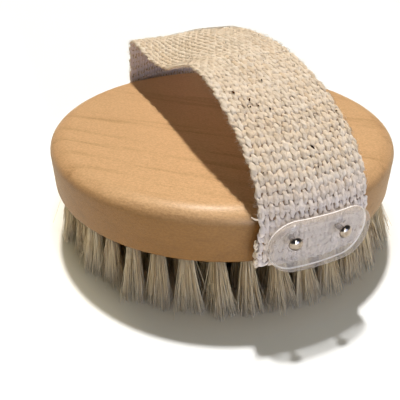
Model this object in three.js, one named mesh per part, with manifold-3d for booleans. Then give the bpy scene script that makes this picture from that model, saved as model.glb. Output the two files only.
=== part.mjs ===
// A round body dry brush: a wooden base with rows of bristle tufts, and a cotton webbing hand strap
// that is nailed to the base's side under a clear plastic plate at the front and at the back.
//
// Millimetres, +Z up. The origin is the middle of the plane that the bristle tips stand on.
// The strap runs from the front (-Y) over the base to the back (+Y), and its width lies along X.

import * as THREE from "three";
import { mergeVertices } from "three/addons/utils/BufferGeometryUtils.js";
import Module from "manifold-3d";

const wasm = await Module();
wasm.setup();

// ---------------------------------------------------------------------------------------------
// Driving dimensions
// ---------------------------------------------------------------------------------------------

const clearance = 0.3; // between pieces that lie against each other

// Wooden base
const woodDiameter = 130;
const woodThickness = 17.6;
const topEdgeRadius = 4.5;
const bottomEdgeRadius = 1.2;

// Bristles
const bristleLength = 22; // from the wood's underside to the tips
const tuftEdgeInset = 6; // from the wood's side to the middle of the outer row
const tuftRowPitch = 9.8; // between rows, before they are spaced evenly
const tuftPitch = 9.3; // along a row, before its tufts are spaced evenly
const outerTuftStrands = 5;
const secondTuftStrands = 3;
const innerTuftStrands = 2;
const innerDiscRows = 2; // rows that share the innermost disc of backing
const strandThickness = 0.9;
const strandPitch = 0.95; // between the roots of one tuft's strands
const tipSpread = 2.1; // a tuft's width at its tips, over its width at its root
const outerRowLean = 6; // how far the outer row's tips stand out past their roots
const leanFalloff = 3; // how quickly the rows inside it stand up straight
const strandRootDepth = 2; // how deep a strand is set in the wood
const backingThickness = 5; // the layer of wood that holds the tufts
const backingRim = 2.9; // the wood that is left outside that layer

// Strap
const strapWidth = 38;
const strapThickness = 1.8;
const strapArchHeight = 30.4; // from the wood's top to the crest of the strap
const frontFullness = 1.88; // exponents of the arch's superellipse on each side: 2 is an ellipse
const rearFullness = 2.3;
const hemRise = 0.5; // from the wood's underside to the folded end
const hemLength = 11; // how far the end is folded up behind the strap
const selvedgeWidth = 1.2; // the edge where the webbing thins
const selvedgeThinning = 0.22; // of the thickness, on each face
const slumpReach = 26; // how far across the strap the slump of its left rear edge reaches
const frontStrapShift = -1; // the front end is nailed on a little left of the rear one
const strapBow = 1.6; // how far the arch bows to the right between its feet
const strapBowPlace = 0.61; // where it bows most, as a share of the way to the rear foot

// Plates
const plateLength = 34;
const plateHeight = 17;
const plateThickness = 2.4;
const plateBevel = 0.7;
const plateDrop = 2.6; // from the nails down to the plate's middle
const frontPlateShift = -1.4; // the front plate is nailed on a little left of the wood's middle
const rearPlateShift = 0;

// Nails
const nailHeight = 11.1; // above the wood's underside
const nailSpacing = 16.2;
const frontNailShift = -3.6; // from the wood's middle to the middle of the front pair
const rearNailShift = 0;
const nailHeadDiameter = 4.2;
const nailHeadHeight = 1.5;
const nailShankDiameter = 1.7;
const nailLength = 15; // under the head
const nailPointLength = 2;

// ---------------------------------------------------------------------------------------------
// Places that follow from them
// ---------------------------------------------------------------------------------------------

const woodRadius = woodDiameter / 2;
const woodBottomZ = bristleLength;
const woodTopZ = woodBottomZ + woodThickness;

const outerRowRadius = woodRadius - tuftEdgeInset;
const tuftRowCount = Math.round(outerRowRadius / tuftRowPitch); // round the tuft in the middle
const rowSpacing = outerRowRadius / tuftRowCount;
const pocketRadius = woodRadius - backingRim;
const backingRadius = pocketRadius - clearance;

// The strap's end is folded in behind it, so two layers lie between the wood and the plate.
const hemBottomZ = woodBottomZ + hemRise;
const hemTopZ = hemBottomZ + hemLength;
const foldInnerRadius = woodRadius + clearance;
const strapOuterRadius = foldInnerRadius + 2 * strapThickness + clearance;
const hemTurnRadius = (strapOuterRadius - foldInnerRadius) / 2;
const hemTurnZ = hemBottomZ + hemTurnRadius;
const archRise = woodTopZ + strapArchHeight - hemTopZ;

const plateInnerRadius = strapOuterRadius + clearance;
const plateOuterRadius = plateInnerRadius + plateThickness;
const nailZ = woodBottomZ + nailHeight;
const plateMiddleZ = nailZ - plateDrop;
const nailSeatRadius = plateOuterRadius + clearance;

// Angles about Z, measured from the front, of the plates' middles and of the nails
const frontPlateAngle = frontPlateShift / nailSeatRadius;
const rearPlateAngle = Math.PI - rearPlateShift / nailSeatRadius;
const nailPairAngles = (middle) =>
  [-nailSpacing / 2, nailSpacing / 2].map((aside) => middle + aside / nailSeatRadius);
const frontNailAngles = nailPairAngles(frontNailShift / nailSeatRadius);
const rearNailAngles = nailPairAngles(Math.PI - rearNailShift / nailSeatRadius);
const nailAngles = [...frontNailAngles, ...rearNailAngles];

// Facets
const woodSegments = 96;
const backingSegments = 30;
const topEdgeSegments = 8;
const bottomEdgeSegments = 3;
const archSegments = 34;
const strapColumns = 6; // between the two selvedges
const hemTurnSegments = 6;
const nailSegments = 16;
const holeSegments = 8;

// ---------------------------------------------------------------------------------------------
// Materials
// ---------------------------------------------------------------------------------------------

const materials = {
  wood: new THREE.MeshStandardMaterial({ color: 0xdcb184, roughness: 0.5, metalness: 0 }),
  bristle: new THREE.MeshStandardMaterial({ color: 0xb8ae9c, roughness: 0.6, metalness: 0 }),
  cotton: new THREE.MeshStandardMaterial({ color: 0xdccdb3, roughness: 0.95, metalness: 0 }),
  nickel: new THREE.MeshStandardMaterial({ color: 0xc9c6c0, roughness: 0.2, metalness: 1 }),
  clearPlastic: new THREE.MeshStandardMaterial({
    color: 0xe9e9ee,
    roughness: 0.12,
    metalness: 0,
    transparent: true,
    opacity: 0.35,
  }),
};

// ---------------------------------------------------------------------------------------------
// Solids and geometry
// ---------------------------------------------------------------------------------------------

// A closed geometry as a manifold-3d solid, for joining and cutting.
function solidOf(geometry) {
  const bare = geometry.clone();
  bare.deleteAttribute("normal");
  bare.deleteAttribute("uv");
  const merged = mergeVertices(bare, 1e-4);
  return new wasm.Manifold(
    new wasm.Mesh({
      numProp: 3,
      vertProperties: merged.attributes.position.array,
      triVerts: new Uint32Array(merged.index.array),
    }),
  );
}

// A solid as a flat-shaded geometry.
function geometryOf(solid) {
  const mesh = solid.getMesh();
  const indexed = new THREE.BufferGeometry();
  indexed.setAttribute("position", new THREE.BufferAttribute(mesh.vertProperties, 3));
  indexed.setIndex(new THREE.BufferAttribute(mesh.triVerts, 1));
  const geometry = indexed.toNonIndexed();
  geometry.computeVertexNormals();
  return geometry;
}

function namedMesh(name, geometry, material) {
  const mesh = new THREE.Mesh(geometry, material);
  mesh.name = name;
  return mesh;
}

// A profile of (radius, height) points turned round Z. It runs anticlockwise, seen with Z up.
function turned(profile, segments) {
  return new THREE.LatheGeometry(profile, segments).rotateX(Math.PI / 2);
}

// The frame of something that points outwards from the wood's side: its Y axis is the outward one.
function outwardFrame(angle, radius, z) {
  return new THREE.Matrix4()
    .makeRotationZ(angle)
    .multiply(new THREE.Matrix4().makeTranslation(0, -radius, z))
    .multiply(new THREE.Matrix4().makeRotationZ(Math.PI));
}

// What a nail's hole takes out of a piece, between two distances from the brush's middle.
function nailHole(angle, innerRadius, outerRadius) {
  const radius = nailShankDiameter / 2 + clearance;
  const length = outerRadius - innerRadius;
  const cutter = new THREE.CylinderGeometry(radius, radius, length, holeSegments);
  cutter.applyMatrix4(outwardFrame(angle, innerRadius + length / 2, nailZ));
  return solidOf(cutter);
}

// A closed surface over a grid of points, whose first and last rows and columns are its border.
// front[row][column] faces out on one side, and back[row][column] on the other.
function slabGeometry(front, back) {
  const rows = front.length;
  const columns = front[0].length;
  const points = [...front.flat(), ...back.flat()];
  const at = (side, row, column) => (side * rows + row) * columns + column;
  const triangles = [];
  const quad = (a, b, c, d) => triangles.push(a, b, c, a, c, d);
  for (let row = 0; row + 1 < rows; row += 1) {
    for (let column = 0; column + 1 < columns; column += 1) {
      const corners = [[row, column], [row, column + 1], [row + 1, column + 1], [row + 1, column]];
      const [a, b, c, d] = corners.map(([r, k]) => at(0, r, k));
      const [e, f, g, h] = corners.map(([r, k]) => at(1, r, k));
      quad(a, b, c, d);
      quad(e, h, g, f);
    }
    const last = columns - 1;
    quad(at(0, row, 0), at(0, row + 1, 0), at(1, row + 1, 0), at(1, row, 0));
    quad(at(0, row, last), at(1, row, last), at(1, row + 1, last), at(0, row + 1, last));
  }
  for (let column = 0; column + 1 < columns; column += 1) {
    const last = rows - 1;
    quad(at(0, 0, column), at(1, 0, column), at(1, 0, column + 1), at(0, 0, column + 1));
    quad(at(0, last, column), at(0, last, column + 1), at(1, last, column + 1), at(1, last, column));
  }
  const geometry = new THREE.BufferGeometry().setFromPoints(points);
  geometry.setIndex(triangles);
  return geometry;
}

// ---------------------------------------------------------------------------------------------
// Wooden base: a turned disc with rounded edges, and a shallow pocket for the layer of tufts
// ---------------------------------------------------------------------------------------------

// A quarter turn of the outline at the wood's side, round a middle at height z.
function roundedEdge(z, radius, startAngle, segments) {
  return Array.from({ length: segments + 1 }, (_, step) => {
    const angle = startAngle + (step / segments) * (Math.PI / 2);
    return new THREE.Vector2(
      woodRadius - radius + radius * Math.cos(angle), z + radius * Math.sin(angle));
  });
}

function woodenBase() {
  const pocketTopZ = woodBottomZ + backingThickness + clearance;
  const outline = [
    new THREE.Vector2(0, pocketTopZ),
    new THREE.Vector2(pocketRadius, pocketTopZ),
    new THREE.Vector2(pocketRadius, woodBottomZ),
    ...roundedEdge(woodBottomZ + bottomEdgeRadius, bottomEdgeRadius, -Math.PI / 2, bottomEdgeSegments),
    ...roundedEdge(woodTopZ - topEdgeRadius, topEdgeRadius, 0, topEdgeSegments),
    new THREE.Vector2(0, woodTopZ),
  ];
  const nailTipRadius = nailSeatRadius - nailLength - clearance;
  const holes = nailAngles.map((angle) => nailHole(angle, nailTipRadius, strapOuterRadius));
  const disc = solidOf(turned(outline, woodSegments));
  return namedMesh(
    "wooden_base", geometryOf(disc.subtract(wasm.Manifold.union(holes))), materials.wood);
}

// ---------------------------------------------------------------------------------------------
// Bristles: tufts of flared strands in rows, each row set in its own ring of the wood's underside
// ---------------------------------------------------------------------------------------------

// One strand: a three-sided rod from inside the wood to the standing plane, where it is cut level.
function strandSolid(root, tip, outwardAngle) {
  const rise = strandRootDepth / bristleLength;
  const anchor = root.clone().lerp(tip, -rise);
  const rim = (centre) =>
    [0, 1, 2].map((corner) => {
      const angle = outwardAngle + (corner * 2 * Math.PI) / 3;
      const reach = strandThickness / Math.sqrt(3);
      return new THREE.Vector3(reach * Math.cos(angle), reach * Math.sin(angle), 0).add(centre);
    });
  const geometry = new THREE.BufferGeometry().setFromPoints([...rim(anchor), ...rim(tip)]);
  geometry.setIndex([0, 1, 2, 3, 5, 4, 0, 3, 4, 0, 4, 1, 1, 4, 5, 1, 5, 2, 2, 5, 3, 2, 3, 0]);
  return solidOf(geometry);
}

// How many tufts stand round a row. Row 0 is the one tuft in the middle.
function tuftsInRow(row) {
  return Math.max(Math.round((2 * Math.PI * row * rowSpacing) / tuftPitch), 1);
}

// A tuft's strands stand side by side along its row, and fan out towards their tips.
function tuftSolids(row, tuft, strandCount) {
  const rowRadius = row * rowSpacing;
  const lean = outerRowLean * (row / tuftRowCount) ** leanFalloff;
  const angle = (tuft * 2 * Math.PI) / tuftsInRow(row);
  const outward = new THREE.Vector3(Math.cos(angle), Math.sin(angle), 0);
  const along = new THREE.Vector3(-Math.sin(angle), Math.cos(angle), 0);
  return Array.from({ length: strandCount }, (_, strand) => {
    const offset = (strand - (strandCount - 1) / 2) * strandPitch;
    const root = new THREE.Vector3(0, 0, woodBottomZ)
      .addScaledVector(outward, rowRadius)
      .addScaledVector(along, offset);
    const tip = new THREE.Vector3()
      .addScaledVector(outward, rowRadius + lean)
      .addScaledVector(along, offset * tipSpread);
    return strandSolid(root, tip, angle);
  });
}

// A ring of the tuft-holding layer, with the rows of tufts that stand in it.
function bristleRing(name, firstRow, lastRow, strandCount) {
  const innerRadius = firstRow === 0 ? 0 : (firstRow - 0.5) * rowSpacing + clearance / 2;
  const outerRadius =
    lastRow === tuftRowCount ? backingRadius : (lastRow + 0.5) * rowSpacing - clearance / 2;
  const topZ = woodBottomZ + backingThickness;
  const section = [
    new THREE.Vector2(innerRadius, woodBottomZ),
    new THREE.Vector2(outerRadius, woodBottomZ),
    new THREE.Vector2(outerRadius, topZ),
    new THREE.Vector2(innerRadius, topZ),
  ];
  if (innerRadius > 0) section.push(section[0]);
  const strands = [];
  for (let row = firstRow; row <= lastRow; row += 1) {
    for (let tuft = 0; tuft < tuftsInRow(row); tuft += 1) {
      strands.push(...tuftSolids(row, tuft, row === 0 ? 1 : strandCount));
    }
  }
  const backing = solidOf(turned(section, backingSegments));
  const solid = wasm.Manifold.union([backing, ...strands]);
  return namedMesh(name, geometryOf(solid), materials.bristle);
}

// ---------------------------------------------------------------------------------------------
// Strap: webbing that arches over the wood, with both ends folded in behind it
// ---------------------------------------------------------------------------------------------

// Half of the strap's outer face on the upright part of the arch, as (distance out, height) for a
// fraction of the way from the foot of the arch, 0, to its crest, 1.
function archPoint(fraction, reach, fullness) {
  const angle = (fraction * Math.PI) / 2;
  const power = 2 / fullness;
  return new THREE.Vector2(
    reach * Math.cos(angle) ** power, hemTopZ + archRise * Math.sin(angle) ** power);
}

// The left edge has slumped at the rear: it drops from the crest to a flat stretch, and turns down
// in a tight corner. The points are (distance to the rear, height) as shares of the arch's reach
// and rise, from just before the crest to the rear foot.
const slumpRoute = new THREE.SplineCurve(
  [
    [-0.22, 0.972],
    [-0.06, 0.9],
    [0.09, 0.8],
    [0.24, 0.745],
    [0.45, 0.73],
    [0.72, 0.74],
    [0.86, 0.715],
    [0.915, 0.6],
    [0.925, 0.4],
    [0.95, 0.18],
    [1, 0],
  ].map(([out, up]) => new THREE.Vector2(out, up)),
);
// The slump starts at a fraction of the whole arch, front to rear, and is full after a short blend.
const slumpStart = 0.42;
const slumpBlend = 0.08;

// How far the middle of the arch lies to the right, at a share of the way along it. It is 0 at the
// feet, and the power puts the most of it at strapBowPlace.
const bowPower = Math.log(0.5) / Math.log(strapBowPlace);
function sidewaysDrift(along) {
  const shift = frontStrapShift * (1 - THREE.MathUtils.smoothstep(along, 0, 1));
  return shift + strapBow * Math.sin(Math.PI * along ** bowPower);
}

// A point of the strap's outer face over the wood. along goes from the front foot of the arch, 0,
// to the rear foot, 1, and across from the left edge, -strapWidth / 2, to the right one.
function archSurface(along, across) {
  const isFront = along < 0.5;
  const fullness = isFront ? frontFullness : rearFullness;
  const x = across + sidewaysDrift(along);
  const reach = Math.sqrt(strapOuterRadius ** 2 - x ** 2);
  const arch = archPoint(1 - Math.abs(2 * along - 1), reach, fullness);
  const plain = new THREE.Vector3(x, isFront ? -arch.x : arch.x, arch.y);
  if (along <= slumpStart) return plain;
  const share = slumpRoute.getPoint((along - slumpStart) / (1 - slumpStart));
  const slumped = new THREE.Vector3(x, share.x * reach, hemTopZ + share.y * archRise);
  const weight = 1 - THREE.MathUtils.smoothstep(across, -strapWidth / 2, slumpReach - strapWidth / 2);
  const blendIn = THREE.MathUtils.smoothstep(along, slumpStart, slumpStart + slumpBlend);
  return plain.lerp(slumped, weight * blendIn);
}

// A point of the outer face of one end, which lies round the wood's side. side is -1 at the front
// and 1 at the rear; radius is the distance from the brush's middle.
function endSurface(side, radius, z, across) {
  const x = across + (side < 0 ? frontStrapShift : 0);
  return new THREE.Vector3(x, side * Math.sqrt(radius ** 2 - x ** 2), z);
}

// The stations along the strap, each a function of the place across it, from the end folded up
// behind the front to the end folded up behind the rear.
function strapStations() {
  const end = (side) => {
    const stations = [(across) => endSurface(side, foldInnerRadius, hemTopZ, across)];
    for (let step = 0; step <= hemTurnSegments; step += 1) {
      const turn = (step / hemTurnSegments) * Math.PI;
      const radius = foldInnerRadius + hemTurnRadius * (1 - Math.cos(turn));
      const z = hemTurnZ - hemTurnRadius * Math.sin(turn);
      stations.push((across) => endSurface(side, radius, z, across));
    }
    return stations;
  };
  const arch = Array.from({ length: archSegments + 1 }, (_, step) => (across) =>
    archSurface(step / archSegments, across));
  return [...end(-1), ...arch, ...end(1).reverse()];
}

// The outward direction of the strap's face at a station, from the points before and after it.
function strapNormal(stations, index, across) {
  const step = 0.05;
  const here = stations[index](across);
  const before = stations[Math.max(index - 1, 0)](across);
  const after = stations[Math.min(index + 1, stations.length - 1)](across);
  const onwards = new THREE.Vector3();
  if (index > 0) onwards.add(here.clone().sub(before).normalize());
  if (index < stations.length - 1) onwards.add(after.clone().sub(here).normalize());
  const sideways = stations[index](across + step).sub(stations[index](across - step));
  return sideways.cross(onwards).normalize();
}

function strap() {
  const half = strapWidth / 2;
  const inset = half - selvedgeWidth;
  const middle = Array.from({ length: strapColumns + 1 }, (_, column) =>
    inset * ((2 * column) / strapColumns - 1));
  const columns = [-half, ...middle, half];
  const stations = strapStations();
  const faceRow = (index, depth) =>
    columns.map((across) => {
      const isEdge = Math.abs(across) === half;
      const thinning = isEdge ? selvedgeThinning * strapThickness : 0;
      const inwards = depth === 0 ? thinning : depth - thinning;
      const normal = strapNormal(stations, index, across);
      return stations[index](across).addScaledVector(normal, -inwards);
    });
  const outer = stations.map((_, index) => faceRow(index, 0));
  const inner = stations.map((_, index) => faceRow(index, strapThickness));
  const holes = nailAngles.map((angle) => nailHole(angle, woodRadius, plateOuterRadius));
  const solid = solidOf(slabGeometry(outer, inner)).subtract(wasm.Manifold.union(holes));
  return namedMesh("strap", geometryOf(solid), materials.cotton);
}

// ---------------------------------------------------------------------------------------------
// Clear plates: round-ended strips bent to the wood's side, with a bevelled outer rim
// ---------------------------------------------------------------------------------------------

// Half the height of a round-ended outline at a place along it.
function roundEndedHalfHeight(along, halfLength, halfHeight) {
  const overEnd = Math.max(Math.abs(along) - (halfLength - halfHeight), 0);
  return Math.sqrt(Math.max(halfHeight ** 2 - overEnd ** 2, 0));
}

// Places along a round-ended outline: even steps on the straight, and even angles round the ends.
function platePlaces(halfLength, halfHeight) {
  const endSteps = 8;
  const straightSteps = 6;
  const straight = halfLength - halfHeight;
  const end = Array.from({ length: endSteps }, (_, step) =>
    straight + halfHeight * Math.cos((step / endSteps) * (Math.PI / 2)));
  const middle = Array.from({ length: straightSteps + 1 }, (_, step) =>
    straight - (2 * straight * step) / straightSteps);
  return [...end, ...middle, ...end.map((place) => -place).reverse()];
}

// A point of the plate: along its bend, out from its inner face, and up from its middle.
function platePoint(along, out, up) {
  const angle = along / plateInnerRadius;
  const radius = plateInnerRadius + out;
  return new THREE.Vector3(
    radius * Math.sin(angle), -radius * Math.cos(angle), plateMiddleZ + up);
}

function plate(name, angle, holeAngles) {
  const halfLength = plateLength / 2;
  const halfHeight = plateHeight / 2;
  // Each layer is the whole outline, drawn in by an inset, at a distance out from the inner face.
  const layers = [
    { inset: 0, out: 0 },
    { inset: 0, out: plateThickness - plateBevel },
    { inset: plateBevel, out: plateThickness },
  ];
  const loops = layers.map(({ inset, out }) => {
    const places = platePlaces(halfLength - inset, halfHeight - inset);
    const up = (place) => roundEndedHalfHeight(place, halfLength - inset, halfHeight - inset);
    const top = places.map((place) => platePoint(place, out, up(place)));
    const bottom = places.slice(1, -1).map((place) => platePoint(place, out, -up(place)));
    return { top, bottom: [top[0], ...bottom, top[top.length - 1]] };
  });
  const triangles = [];
  const quad = (a, b, c, d) => triangles.push(a, b, c, a, c, d);
  // The rim, between one layer's outline and the next.
  loops.slice(0, -1).forEach((near, index) => {
    const far = loops[index + 1];
    for (let step = 0; step + 1 < near.top.length; step += 1) {
      quad(near.top[step], near.top[step + 1], far.top[step + 1], far.top[step]);
      quad(near.bottom[step], far.bottom[step], far.bottom[step + 1], near.bottom[step + 1]);
    }
  });
  // The two faces, in upright strips, which bend with the wood.
  const faceStrips = (loop, facesOut) => {
    for (let step = 0; step + 1 < loop.top.length; step += 1) {
      const ring = [loop.top[step], loop.top[step + 1], loop.bottom[step + 1], loop.bottom[step]];
      quad(...(facesOut ? ring : ring.reverse()));
    }
  };
  faceStrips(loops[0], false);
  faceStrips(loops[loops.length - 1], true);
  const solid = solidOf(new THREE.BufferGeometry().setFromPoints(triangles));
  const holes = holeAngles.map((holeAngle) =>
    nailHole(holeAngle - angle, strapOuterRadius, nailSeatRadius + clearance));
  const geometry = geometryOf(solid.subtract(wasm.Manifold.union(holes)));
  const mesh = namedMesh(name, geometry, materials.clearPlastic);
  mesh.rotation.z = angle;
  return mesh;
}

// ---------------------------------------------------------------------------------------------
// Nails: domed heads that press on the plates, with pointed shanks in the wood
// ---------------------------------------------------------------------------------------------

function nail(name, angle) {
  const headRadius = nailHeadDiameter / 2;
  const shankRadius = nailShankDiameter / 2;
  const domeSteps = 5;
  const dome = Array.from({ length: domeSteps }, (_, step) => {
    const turn = (step / domeSteps) * (Math.PI / 2);
    return new THREE.Vector2(headRadius * Math.cos(turn), nailHeadHeight * Math.sin(turn));
  });
  const profile = [
    new THREE.Vector2(0, -nailLength),
    new THREE.Vector2(shankRadius, nailPointLength - nailLength),
    new THREE.Vector2(shankRadius, 0),
    ...dome,
    new THREE.Vector2(0, nailHeadHeight),
  ];
  const mesh = namedMesh(name, new THREE.LatheGeometry(profile, nailSegments), materials.nickel);
  mesh.applyMatrix4(outwardFrame(angle, nailSeatRadius, nailZ));
  return mesh;
}

// ---------------------------------------------------------------------------------------------
// The brush
// ---------------------------------------------------------------------------------------------

const brush = new THREE.Group();
brush.add(
  woodenBase(),
  bristleRing("outer_bristle_ring", tuftRowCount, tuftRowCount, outerTuftStrands),
  bristleRing("second_bristle_ring", tuftRowCount - 1, tuftRowCount - 1, secondTuftStrands),
  bristleRing("middle_bristle_ring", innerDiscRows + 1, tuftRowCount - 2, innerTuftStrands),
  bristleRing("inner_bristle_disc", 0, innerDiscRows, innerTuftStrands),
  strap(),
  plate("front_clamp_plate", frontPlateAngle, frontNailAngles),
  plate("rear_clamp_plate", rearPlateAngle, rearNailAngles),
  nail("front_left_nail", frontNailAngles[0]),
  nail("front_right_nail", frontNailAngles[1]),
  nail("rear_right_nail", rearNailAngles[0]),
  nail("rear_left_nail", rearNailAngles[1]),
);

export default brush;
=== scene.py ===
"""A body dry brush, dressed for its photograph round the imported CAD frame.

Sizes are in millimetres and become Blender's metres where a mesh is made. +Z is up, the front is -Y, and
the origin is the middle of the plane that the bristle tips stand on.
"""

import logging
import math
from contextlib import contextmanager
from dataclasses import dataclass, field
from enum import Enum
from typing import Any, Callable, Iterator, Sequence

import bmesh
import bpy
import numpy as np
from mathutils import Matrix, Vector


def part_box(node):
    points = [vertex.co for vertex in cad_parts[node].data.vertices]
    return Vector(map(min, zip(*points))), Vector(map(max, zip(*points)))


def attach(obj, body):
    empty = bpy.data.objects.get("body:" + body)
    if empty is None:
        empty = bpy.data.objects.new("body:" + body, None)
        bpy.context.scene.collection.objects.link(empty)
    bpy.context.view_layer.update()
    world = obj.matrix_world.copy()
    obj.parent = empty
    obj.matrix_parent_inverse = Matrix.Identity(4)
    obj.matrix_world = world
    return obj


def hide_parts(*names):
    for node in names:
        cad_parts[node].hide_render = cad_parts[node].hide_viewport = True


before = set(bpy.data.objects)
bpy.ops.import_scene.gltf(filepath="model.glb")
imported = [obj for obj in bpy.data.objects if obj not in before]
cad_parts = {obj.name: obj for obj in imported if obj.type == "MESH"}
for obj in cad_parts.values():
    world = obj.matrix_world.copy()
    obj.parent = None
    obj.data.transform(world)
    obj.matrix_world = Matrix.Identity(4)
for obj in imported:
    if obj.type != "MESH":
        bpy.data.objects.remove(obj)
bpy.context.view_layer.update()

log = logging.getLogger("dry_brush")

MM = 0.001
CLEARANCE = 0.3  # between pieces that lie against each other
NEAR = 0.001  # closer places are taken as the same


class Slot(Enum):
    """Material slots."""

    WOOD = "wood"
    BRISTLE = "bristle"
    COTTON = "cotton_webbing"
    CLEAR = "clear_plastic"
    NICKEL = "nickel"


Colour = tuple[float, float, float, float]
Triple = tuple[float, float, float]
Piece = bpy.types.Object


def colour(red: int, green: int, blue: int) -> Colour:
    """A colour as it shows on a screen, turned linear.

    Args:
        red, green, blue: from 0 to 255.

    Returns:
        Linear red, green, blue and alpha.
    """
    parts = (c / 255 for c in (red, green, blue))
    linear = [c / 12.92 if c <= 0.04045 else ((c + 0.055) / 1.055) ** 2.4 for c in parts]
    return (*linear, 1.0)


# ---- Shader graphs ----


@dataclass(frozen=True)
class Wire:
    """A node's output. Python's operators on it add Math nodes."""

    graph: "Graph"
    socket: bpy.types.NodeSocket

    def maths(self, operation: str, *values: Any) -> "Wire":
        """Adds a Math node of the given operation on these values."""
        return self.graph.add("ShaderNodeMath", {"operation": operation}, dict(enumerate(values)))

    def __add__(self, other: Any) -> "Wire":
        """self + other."""
        return self.maths("ADD", self, other)

    def __radd__(self, other: Any) -> "Wire":
        """other + self."""
        return self.maths("ADD", other, self)

    def __sub__(self, other: Any) -> "Wire":
        """self - other."""
        return self.maths("SUBTRACT", self, other)

    def __rsub__(self, other: Any) -> "Wire":
        """other - self."""
        return self.maths("SUBTRACT", other, self)

    def __mul__(self, other: Any) -> "Wire":
        """self * other."""
        return self.maths("MULTIPLY", self, other)

    def __rmul__(self, other: Any) -> "Wire":
        """other * self."""
        return self.maths("MULTIPLY", other, self)

    def __truediv__(self, other: Any) -> "Wire":
        """self / other."""
        return self.maths("DIVIDE", self, other)

    def __pow__(self, other: Any) -> "Wire":
        """self ** other."""
        return self.maths("POWER", self, other)

    def sine(self) -> "Wire":
        """The sine of an angle in radians."""
        return self.maths("SINE", self)

    def fraction(self) -> "Wire":
        """What is left over the whole number below."""
        return self.maths("FRACT", self)

    def between(self, low: float, high: float) -> "Wire":
        """A smooth step: 0 up to low, and 1 from high on."""
        sockets = {"Value": self, "From Min": low, "From Max": high}
        return self.graph.add("ShaderNodeMapRange", {"interpolation_type": "SMOOTHSTEP"}, sockets)


class Shading(Enum):
    """What a graph shades, by its output node."""

    MATERIAL = "ShaderNodeOutputMaterial"
    WORLD = "ShaderNodeOutputWorld"


class Graph:
    """The node tree of a material or of the world."""

    def __init__(self, name: str, shading: Shading = Shading.MATERIAL) -> None:
        """Starts an empty tree.

        Args:
            name: of the material or world.
            shading: which of them it is for.
        """
        kept_in = bpy.data.worlds if shading is Shading.WORLD else bpy.data.materials
        self.owner = kept_in.new(name)
        self.owner.use_nodes = True
        self.output = shading.value
        self.tree = self.owner.node_tree
        self.tree.nodes.clear()

    def add(self, kind: str, settings: dict[str, Any] | None = None,
            sockets: dict[Any, Any] | None = None, outlet: Any = 0) -> Wire:
        """Adds a node.

        Args:
            kind: the node's Blender type.
            settings: its properties.
            sockets: the values or wires of its inputs, by name or number.
            outlet: the output that is wanted, by name or number.

        Returns:
            The wire from that output.
        """
        node = self.tree.nodes.new(kind)
        for key, value in (settings or {}).items():
            setattr(node, key, value)
        for key, value in (sockets or {}).items():
            if isinstance(value, Wire):
                self.tree.links.new(value.socket, node.inputs[key])
            else:
                node.inputs[key].default_value = value
        return Wire(self, node.outputs[outlet])

    def place(self) -> Wire:
        """Where a point is on the object, in metres."""
        return self.add("ShaderNodeTexCoord", outlet="Object")

    def scaled(self, vector: Wire, scale: Sequence[float]) -> Wire:
        """A vector times a scale along each axis."""
        return self.add("ShaderNodeVectorMath", {"operation": "MULTIPLY"}, {0: vector, 1: scale})

    def axis(self, vector: Wire, name: str) -> Wire:
        """One of a vector's parts, X, Y or Z."""
        return self.add("ShaderNodeSeparateXYZ", sockets={0: vector}, outlet=name)

    def attribute(self, name: str) -> Wire:
        """A number that the mesh holds at each of its points."""
        return self.add("ShaderNodeAttribute", {"attribute_name": name}, outlet="Fac")

    def noise(self, vector: Wire, detail: float = 2.0, roughness: float = 0.5) -> Wire:
        """Soft noise from 0 to 1 with features one unit of the vector across."""
        sockets = {"Vector": vector, "Scale": 1.0, "Detail": detail, "Roughness": roughness}
        return self.add("ShaderNodeTexNoise", sockets=sockets, outlet="Fac")

    def mix(self, factor: Any, first: Any, second: Any, blend: str = "MIX") -> Wire:
        """Two colours mixed, from the first at 0 to the second at 1."""
        settings = {"data_type": "RGBA", "blend_type": blend}
        return self.add("ShaderNodeMix", settings, {0: factor, 6: first, 7: second}, outlet=2)

    def bump(self, height: Wire, depth: float) -> Wire:
        """A normal for a height from 0 to 1 that stands for a depth in millimetres."""
        return self.add("ShaderNodeBump", sockets={"Height": height, "Distance": depth * MM})

    def surface(self, sockets: dict[str, Any]) -> Wire:
        """The surface shader, with the given values and wires."""
        return self.add("ShaderNodeBsdfPrincipled", sockets=sockets)

    def finished(self, shader: Wire) -> Any:
        """Links the last shader to the output.

        Args:
            shader: of the surface or of the sky.

        Returns:
            The finished material or world.
        """
        node = self.tree.nodes.new(self.output)
        self.tree.links.new(shader.socket, node.inputs["Surface"])
        return self.owner


# ---- Finishes ----


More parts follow.
